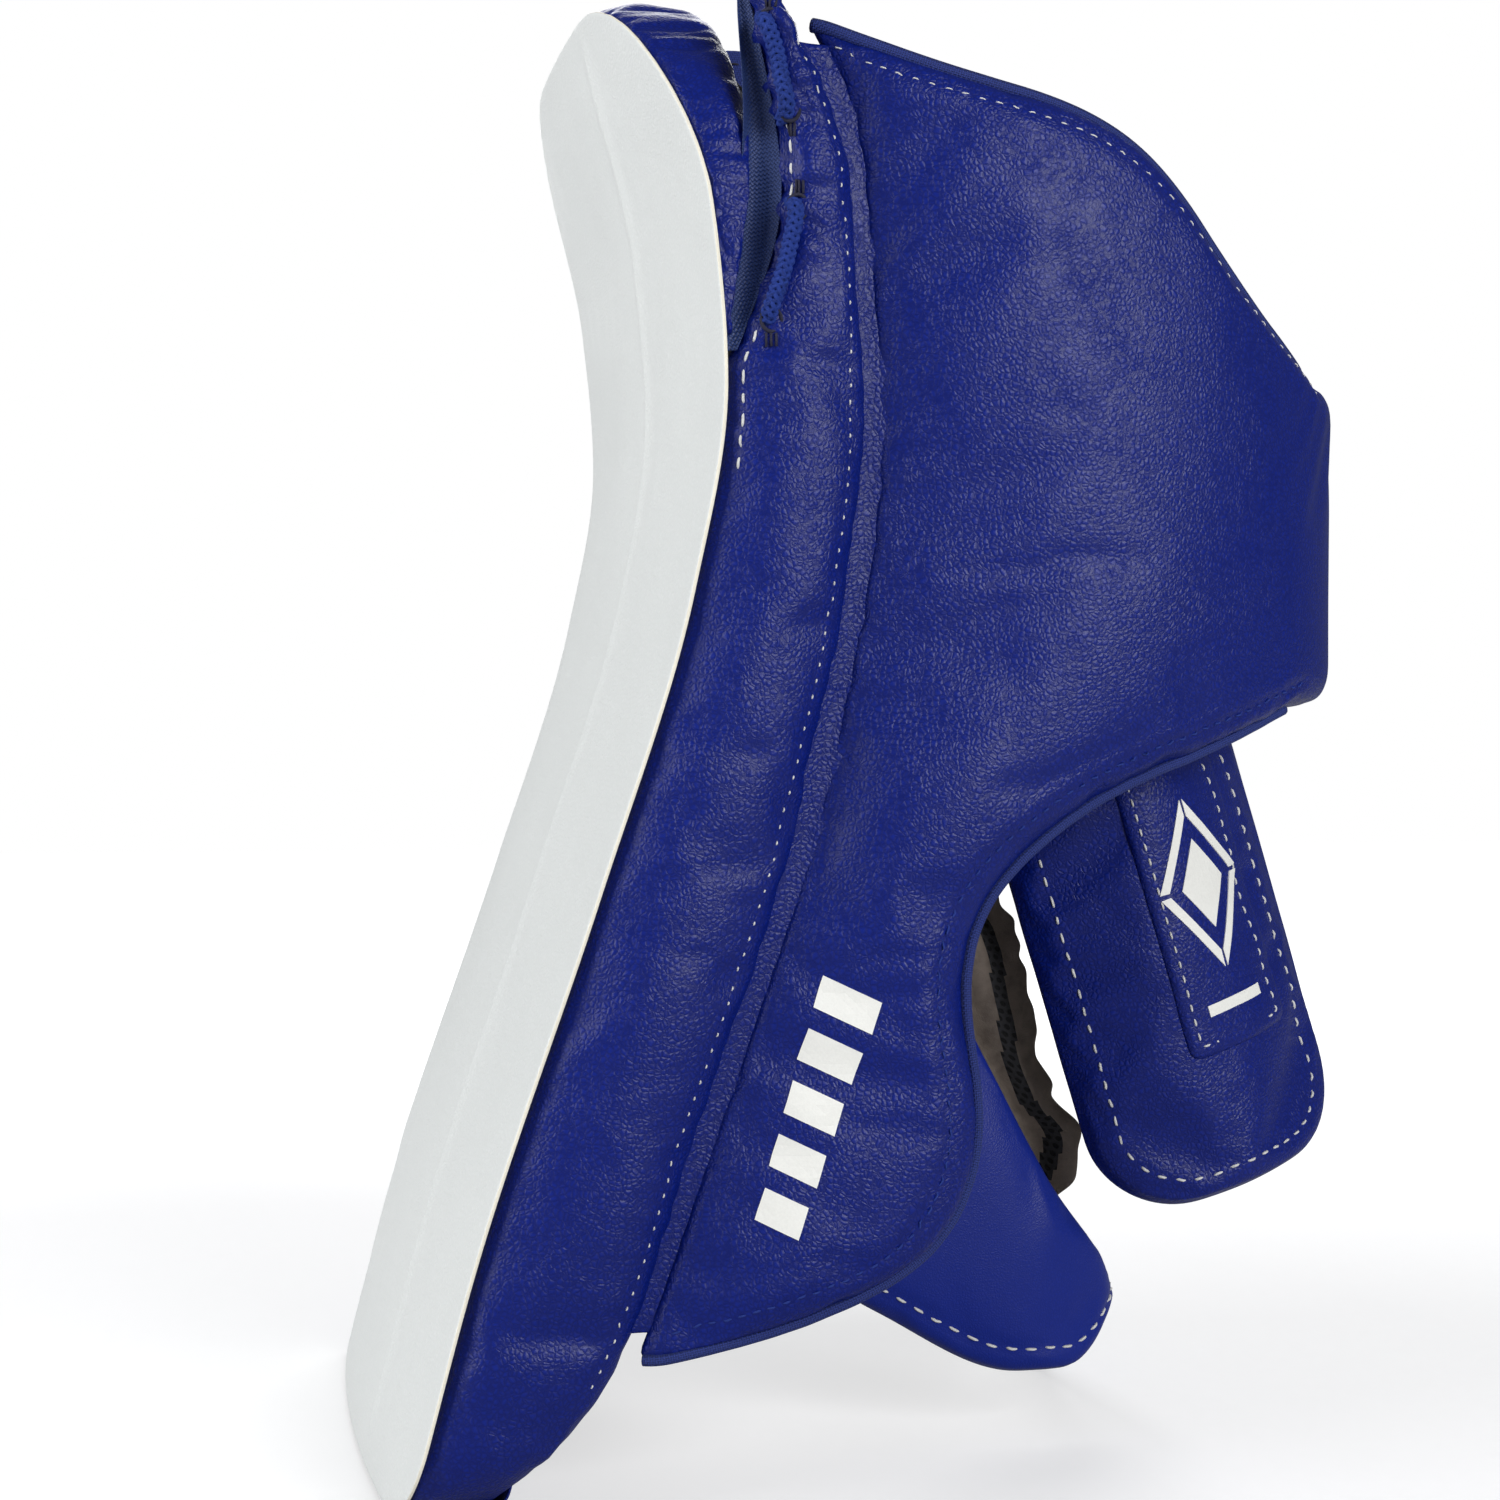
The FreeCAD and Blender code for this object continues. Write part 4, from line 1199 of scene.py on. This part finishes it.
def sleeve(name, centres, along, half_w, half_d, wall, seed, material):
    """Finger-shaped tube, open at its first ring, with a rolled mouth and a closed tip."""
    rings, around = len(centres), 30
    turn = np.linspace(0, 2 * math.pi, around, endpoint=False)

    def rows(less):
        w, d = np.maximum(half_w - less, 0.4), np.maximum(half_d - less, 0.4)
        return (centres[:, None] + along[:, None] * (d[:, None] * np.cos(turn))[..., None]
                + np.array([0, 1.0, 0]) * (w[:, None] * np.sin(turn))[..., None])

    outer, inner, tangent = rows(0), rows(wall), directions(centres)
    s = np.linspace(0, 1, rings)[:, None]
    puff = 0.9 * ripple(outer, 17, seed) + 0.5 * np.sin(s * 34 + 1.2 * np.cos(turn)) * (s < 0.75)
    way = outer - centres[:, None]
    way /= np.linalg.norm(way, axis=2, keepdims=True)
    outer = outer + way * (puff * np.clip(s * 8, 0, 1))[..., None]
    inner[-1] -= tangent[-1] * wall
    lip = rows(wall / 2)[0] - tangent[0] * 0.9
    tips = [centres[-1] + tangent[-1] * 0.6, centres[-1] - tangent[-1] * wall]
    verts = np.concatenate([outer.reshape(-1, 3), inner.reshape(-1, 3), lip, tips])
    count = rings * around
    faces = []
    for k in range(around):
        m = (k + 1) % around
        for i in range(rings - 1):
            a, b, c, d = i * around + k, i * around + m, (i + 1) * around + m, (i + 1) * around + k
            faces += [[a, b, c, d], [d + count, c + count, b + count, a + count]]
        faces += [[m, k, 2 * count + k, 2 * count + m], [2 * count + m, 2 * count + k, count + k, count + m],
                  [count - around + k, count - around + m, 2 * count + around],
                  [2 * count - around + m, 2 * count - around + k, 2 * count + around + 1]]
    uv = np.stack([np.broadcast_to(turn * half_w.max(), (rings, around)).ravel(),
                   np.broadcast_to(s * length_of(centres), (rings, around)).ravel()], 1)
    obj = mesh_object(name, verts, faces, np.concatenate([uv, uv, uv[:around], [[0, 0], [0, 0]]]), material)
    face_outwards(obj)
    return refine(obj)


def make_stalls():
    across = np.array([0, 1.0, 0])
    for k, (finger, (y, length)) in enumerate(STALLS.items()):
        x, z = KNUCKLE
        route = spline([((px - x) * length + x, y, (pz - z) * length + z) for px, pz in STALL_PATH], 26)
        along = np.cross(across, directions(route))
        along *= np.sign(along[:, :1])
        t = np.linspace(0, 1, len(route))
        shrink = np.sqrt(1 - np.clip((t - 0.8) / 0.2, 0, 0.97)**2) * (1 - 0.12 * t)
        obj = sleeve(finger + "_finger", route, along, STALL_HALF_WIDTH * shrink, STALL_HALF_DEPTH * shrink,
                     SUEDE, 50 + k, suede)
        dress(obj, "fingers", "suede", finger + "_stall")
        for side in (-1, 1):
            press(obj, route[2:-3] + across * side * (STALL_HALF_WIDTH * shrink[2:-3])[:, None], 1.0, 0.6)
    t = np.linspace(0, 1, 30)
    route = stall_start() + THUMB_DOWN * (2 + 102 * t)[:, None]
    shrink = np.sqrt(1 - np.clip((t - 0.84) / 0.16, 0, 0.97)**2) * (1 - 0.06 * t)
    obj = sleeve("thumb_finger", route, np.broadcast_to(THUMB_ACROSS, route.shape), STALL_R * shrink,
                 STALL_R * shrink, SUEDE, 60, suede)
    dress(obj, "thumb", "suede", "thumb_stall")


FLAP_EDGE = [(60, 180), (66, 187.5), (78, 190), (89, 182), (100, 178), (116, 175), (132, 171), (147, 163)]
FLAP_ROOT = [(60, 168), (92, 157), (110, 148), (128, 141), (147, 136)]            # (z, x)


def make_finger_flap():
    """Raw-edged suede and mesh, folded in waves beside the index finger."""
    z, v = mesh_grid(np.linspace(60, 147, 60), np.linspace(0, 1, 30))
    r = np.random.default_rng(5)
    ragged = np.interp(z, np.linspace(60, 147, 26), r.random(26) * 3.0 - 1.5)
    x = smooth(FLAP_ROOT, z) + (smooth(FLAP_EDGE, z) + ragged * v**6 - smooth(FLAP_ROOT, z)) * v
    fold = 0.7 * np.sin(z / 9 + 3 * v) * v + 2.2 * np.sin(v * 8 + z / 20)
    y = -38.0 + fold - 4.5 * np.clip((z - 105) / 25, 0, 1) * v
    outer = points(x, y, z + 2.0 * np.sin(v * 7) * v)
    obj = shell("finger_flap", outer, outer + [0, 1.3, 0], suede, 0.3)
    obj.data.materials.append(lining)
    band = np.array([p.center.x / MM - float(smooth(FLAP_EDGE, p.center.z / MM)) for p in obj.data.polygons])
    obj.data.polygons.foreach_set("material_index", ((band > -10.5) & (band < -6)).astype(np.int32))
    declare_sheet(outer)
    dress(refine(obj), "fingers", "suede")


# ---- the finger guard ----------------------------------------------------------------------------
def make_guard():
    u, v = mesh_grid(np.linspace(0, GUARD_LENGTH, 74), clustered(0, 1, 17))
    outer, inner = guard(u, v, 0.8), guard(u, v, GUARD_DEEP)
    obj = cushion_grid("finger_guard_pad", outer, inner, smooth_blue, 5, 2.6, 0.6, 1.0)
    inflate(obj, border_held(u.shape), 3.0, 4, 0.01)
    near = np.minimum.reduce(grid_edges(outer))
    keep = np.clip(near / 3, 0, 1)
    front = guard(u, v, GUARD_DEEP + 0.3 - 1.0 * (1 - keep))
    back = guard(u, v, GUARD_DEEP + 1.25 - 0.6 * (1 - keep) + 0.15 * ripple(inner, 20, 71) * keep)
    cloth = shell("finger_guard_lining", back, front, twill, 0.1)
    declare_sheet(back)
    dress(refine(cloth), "fingers", "twill", "finger_guard_liner")
    return obj


def dress_guard(obj):
    hem = guard(np.linspace(2, GUARD_LENGTH - 2, 150), 0, 0) + [0, 0, 6]
    press(obj, hem, 1.3, 0.6)
    dress(obj, "fingers", "blue_leather", "finger_guard_cover", "finger_guard_foam")
    stitches("guard_hem_stitches", hem, Skin(obj), "fingers", 3.4, 2.2, 0.38)


# ---- the glove -----------------------------------------------------------------------------------
def make_palm():
    """Gathered suede round the palm, calm at its sewn edges and pressed flat under the strap."""
    strap_middle, strap_reach = 249, 20
    z, a = mesh_grid(np.linspace(PALM_LOW, PALM_TOP, 74), np.linspace(-87.5, 87.5, 66))
    place = palm(z, a, 0)
    free = (np.clip((z - PALM_LOW) / 14, 0, 1) * np.clip((PALM_TOP - z) / 14, 0, 1)
            * np.clip((88 - np.abs(a)) / 12, 0, 1))
    puff = (1.5 * ripple(place, 30, 81) + 0.7 * ripple(place, 13, 82)) * free
    puff = np.where(np.abs(z - strap_middle) < strap_reach, puff * 0.2 - 0.1, puff)
    outer = palm(z, a, 0.3 - puff * 0.6)
    obj = shell("palm_suede", outer, palm(z, a, SUEDE + 0.2 - puff * 0.6), suede, 0.2)
    declare_sheet(outer)
    return dress(refine(obj), "board", "suede", "palm_panel")


def make_knuckle_bridge():
    """Suede that joins the palm to the four finger stalls and bends at the knuckles."""
    t, a = np.linspace(0, 1, 15)[:, None, None], np.linspace(-72, 72, 60)
    r = np.radians(a * 1.22)
    top = palm(PALM_LOW + 9, a, 3.0)
    low = points(125 + 21 * np.sign(np.cos(r)) * np.abs(np.cos(r))**0.6,
                 6 + 48 * np.sign(np.sin(r)) * np.abs(np.sin(r))**0.8, 137)
    grid = top * (1 - t) + low * t
    grid[..., 0] += 2.0 * np.sin(math.pi * t[..., 0]) + 0.8 * ripple(grid, 16, 91)
    obj = shell("knuckle_suede", grid, grid - [1.2, 0, 0], suede, 0.15)
    declare_sheet(grid)
    refine(obj)
    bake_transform(obj)


def make_hand_pad():
    """Soft pad behind the hand, sewn across in two places."""
    z, y = mesh_grid(np.linspace(129, 339, 62), clustered(-36.5, 36.5, 25))
    obj = cushion_grid("hand_pad", board(y, z, 48), board(y, z, CORE_BACK + 0.8), back_knit, 9, 3, 0.75, 0.6)
    return inflate(obj, border_held(z.shape), 2.5, 3.5, 0.02)


def dress_hand_pad(obj):
    for z in (196, 268):
        press(obj, board(np.linspace(-35, 35, 40), z, 49), 3.2, 4.5)
    dress(obj, "board", "backing_knit", "hand_back_pad")


def band(name, rows, turns, low, high, material, slot, node, body, rim=0.3, bow=0.0):
    """A strip that lies round the palm between two depths."""
    z, a = mesh_grid(rows, turns)
    across = np.linspace(-1, 1, len(rows))[:, None]
    obj = shell(name, palm(z, a, low - bow * (1 - across**2)), palm(z, a, high), material, rim)
    return dress(refine(obj), body, slot, node)


def make_wrist():
    turns = np.linspace(-87, 87, 60)
    cuff = band("cuff_tape", np.linspace(345, 365.5, 9), turns, -2.0, -0.5, binding, "binding",
                "cuff_binding", "board", 0.6, 1.0)
    skin = Skin(cuff)
    for k, z in enumerate((348.5, 362)):
        stitches(f"cuff_stitches_{k}", palm(z, turns, -2.4), skin, "board", 3.0, 1.8, 0.3, dark_thread)
    rows = np.linspace(STRAP_LOW, STRAP_HIGH, 11)
    band("loop_patch", rows, np.linspace(-66, -40, 16), -1.35, -0.3, pile, "hook_loop", "strap_loop_patch",
         "board", 0.1)
    strap = band("wrist_strap_webbing", rows, np.linspace(*STRAP_ARC, 60), -4.4, -3.0, webbing, "webbing",
                 "wrist_strap", "strap", 0.4, 0.2)
    skin = Skin(strap)
    turns = np.linspace(STRAP_ARC[0] + 1, STRAP_ARC[1] - 1, 60)
    for k, z in enumerate((STRAP_LOW + 2.2, STRAP_HIGH - 2.2)):
        stitches(f"strap_stitches_{k}", palm(z, turns, -4.8), skin, "strap", 2.6, 1.6, 0.28)
    band("hook_pad", rows[1:-1], np.linspace(-60, -42, 12), -2.9, -1.5, pile, "hook_loop", "strap_hook_pad",
         "strap", 0.1)


def make_thumb_web():
    """Stretch panel between the palm's side and the thumb stall."""
    z, t = np.linspace(179, 207, 18), np.linspace(0, 1, 14)[None, :, None]
    on_palm = palm(z, -44, -0.8)
    on_stall = stall_start() + THUMB_DOWN * (207 - z)[:, None] * 0.9 + [-6, 9, 0]
    grid = on_palm[:, None] * (1 - t) + on_stall[:, None] * t
    grid[..., 0] -= 2.0 * np.sin(math.pi * t[..., 0])
    obj = shell("thumb_web_knit", grid, grid + [0.9, 0, 0], lining, 0.15)
    declare_sheet(grid)
    refine(obj)
    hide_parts("thumb_web")
    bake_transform(obj)


# ---- stage ---------------------------------------------------------------------------------------
FLOOR_HALF = 4000.0
CAMERA_PLACE, CAMERA_TURN, CAMERA_LENS = (-0.0482, -0.7001, 0.1836), -12.4, 61.2      # m, degrees, mm
LIGHTS = {"key": ((0.75, -1.5, 0.75), 0.7, 20), "fill": ((-1.4, -0.3, 0.7), 1.2, 20.5),
          "back": ((0.4, 1.3, 1.0), 1.0, 16)}            # place and size in m, power in W
LIT_POINT = (0.1, 0, 0.18)                               # where the lights aim, in m


def connect(tree, *links):
    """Links each pair of sockets, from output to input."""
    for start, end in links:
        tree.links.new(start, end)


def make_floor():
    """Grey floor that looks whiter to the camera, the more so with distance."""
    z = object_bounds()[0][2] / MM - 0.05
    corners = [(x * FLOOR_HALF, y * FLOOR_HALF, z) for x, y in ((-1, -1), (1, -1), (1, 1), (-1, 1))]
    paper = plain("floor_paper", (0.5, 0.5, 0.51), 0.9, 300, 0.01, 0.01)
    tree = paper.node_tree
    shader, path = tree.nodes["Principled BSDF"], tree.nodes.new("ShaderNodeLightPath")
    shader.inputs["Emission Color"].default_value = (1, 1, 1, 1)
    far, rise, faint = (tree.nodes.new("ShaderNode" + kind) for kind in ("VectorMath", "MapRange", "Math"))
    far.operation, faint.operation = "LENGTH", "MULTIPLY"
    for key, value in {"From Min": 0.35, "From Max": 1.6, "To Min": 0.5, "To Max": 1.0}.items():
        rise.inputs[key].default_value = value
    connect(tree, (tree.nodes["Texture Coordinate"].outputs["Object"], far.inputs[0]),
            (far.outputs["Value"], rise.inputs["Value"]), (path.outputs["Is Camera Ray"], faint.inputs[0]),
            (rise.outputs[0], faint.inputs[1]), (faint.outputs[0], shader.inputs["Emission Strength"]))
    mesh_object("floor", corners, [[0, 1, 2, 3]], None, paper)


def make_world():
    """Background that is white to the camera and a soft pale light to everything else."""
    world = bpy.data.worlds.new("studio")
    scene.world = world
    world.use_nodes = True
    tree = world.node_tree
    sky, seen = tree.nodes["Background"], tree.nodes.new("ShaderNodeBackground")
    sky.inputs["Color"].default_value, sky.inputs["Strength"].default_value = (0.93, 0.97, 1.0, 1), 0.16
    seen.inputs["Color"].default_value = (1, 1, 1, 1)
    path, mix = tree.nodes.new("ShaderNodeLightPath"), tree.nodes.new("ShaderNodeMixShader")
    connect(tree, (path.outputs["Is Camera Ray"], mix.inputs[0]), (sky.outputs[0], mix.inputs[1]),
            (seen.outputs[0], mix.inputs[2]), (mix.outputs[0], tree.nodes["World Output"].inputs["Surface"]))


def make_lights():
    for name, (place, size, power) in LIGHTS.items():
        light = bpy.data.lights.new(name, "AREA")
        light.energy, light.size = power, size
        obj = bpy.data.objects.new(name, light)
        obj.location = place
        obj.rotation_euler = (Vector(LIT_POINT) - Vector(place)).to_track_quat("-Z", "Y").to_euler()
        scene.collection.objects.link(obj)


def make_camera():
    camera = bpy.data.cameras.new("camera")
    camera.lens, camera.sensor_width = CAMERA_LENS, 36.0
    obj = bpy.data.objects.new("camera", camera)
    obj.location = CAMERA_PLACE
    obj.rotation_euler = (math.radians(90), 0, math.radians(CAMERA_TURN))
    scene.collection.objects.link(obj)
    scene.camera = obj
    scene.view_settings.view_transform = "Standard"


# ---- build ---------------------------------------------------------------------------------------
make_face()
make_back_lining()
make_finger_cap()
rim_pad = make_cuff_rim()
rolls = {side: make_roll(side, mirror) for side, mirror in (("near", 1), ("far", -1))}
borders = shield_borders()
shield_pad, shield_cut = make_shield(*borders)
thumb_pad = make_thumb()
guard_pad = make_guard()
hand_pad = make_hand_pad()
run_padding()
crumple(rim_pad, 14, 0.2, 13)
dress(rim_pad, "board", "blue_leather", "edge_band")
dress_roll(rolls["near"], "near", 1)
dress_roll(rolls["far"], "far", -1)
dress_shield(shield_pad, *borders)
make_shield_lining(shield_cut)
make_seam_strip(borders[0])
dress_thumb(thumb_pad)
make_stalls()
dress_guard(guard_pad)
make_finger_flap()
make_palm()
make_knuckle_bridge()
dress_hand_pad(hand_pad)
make_wrist()
make_thumb_web()
make_floor()
make_world()
make_lights()
make_camera()
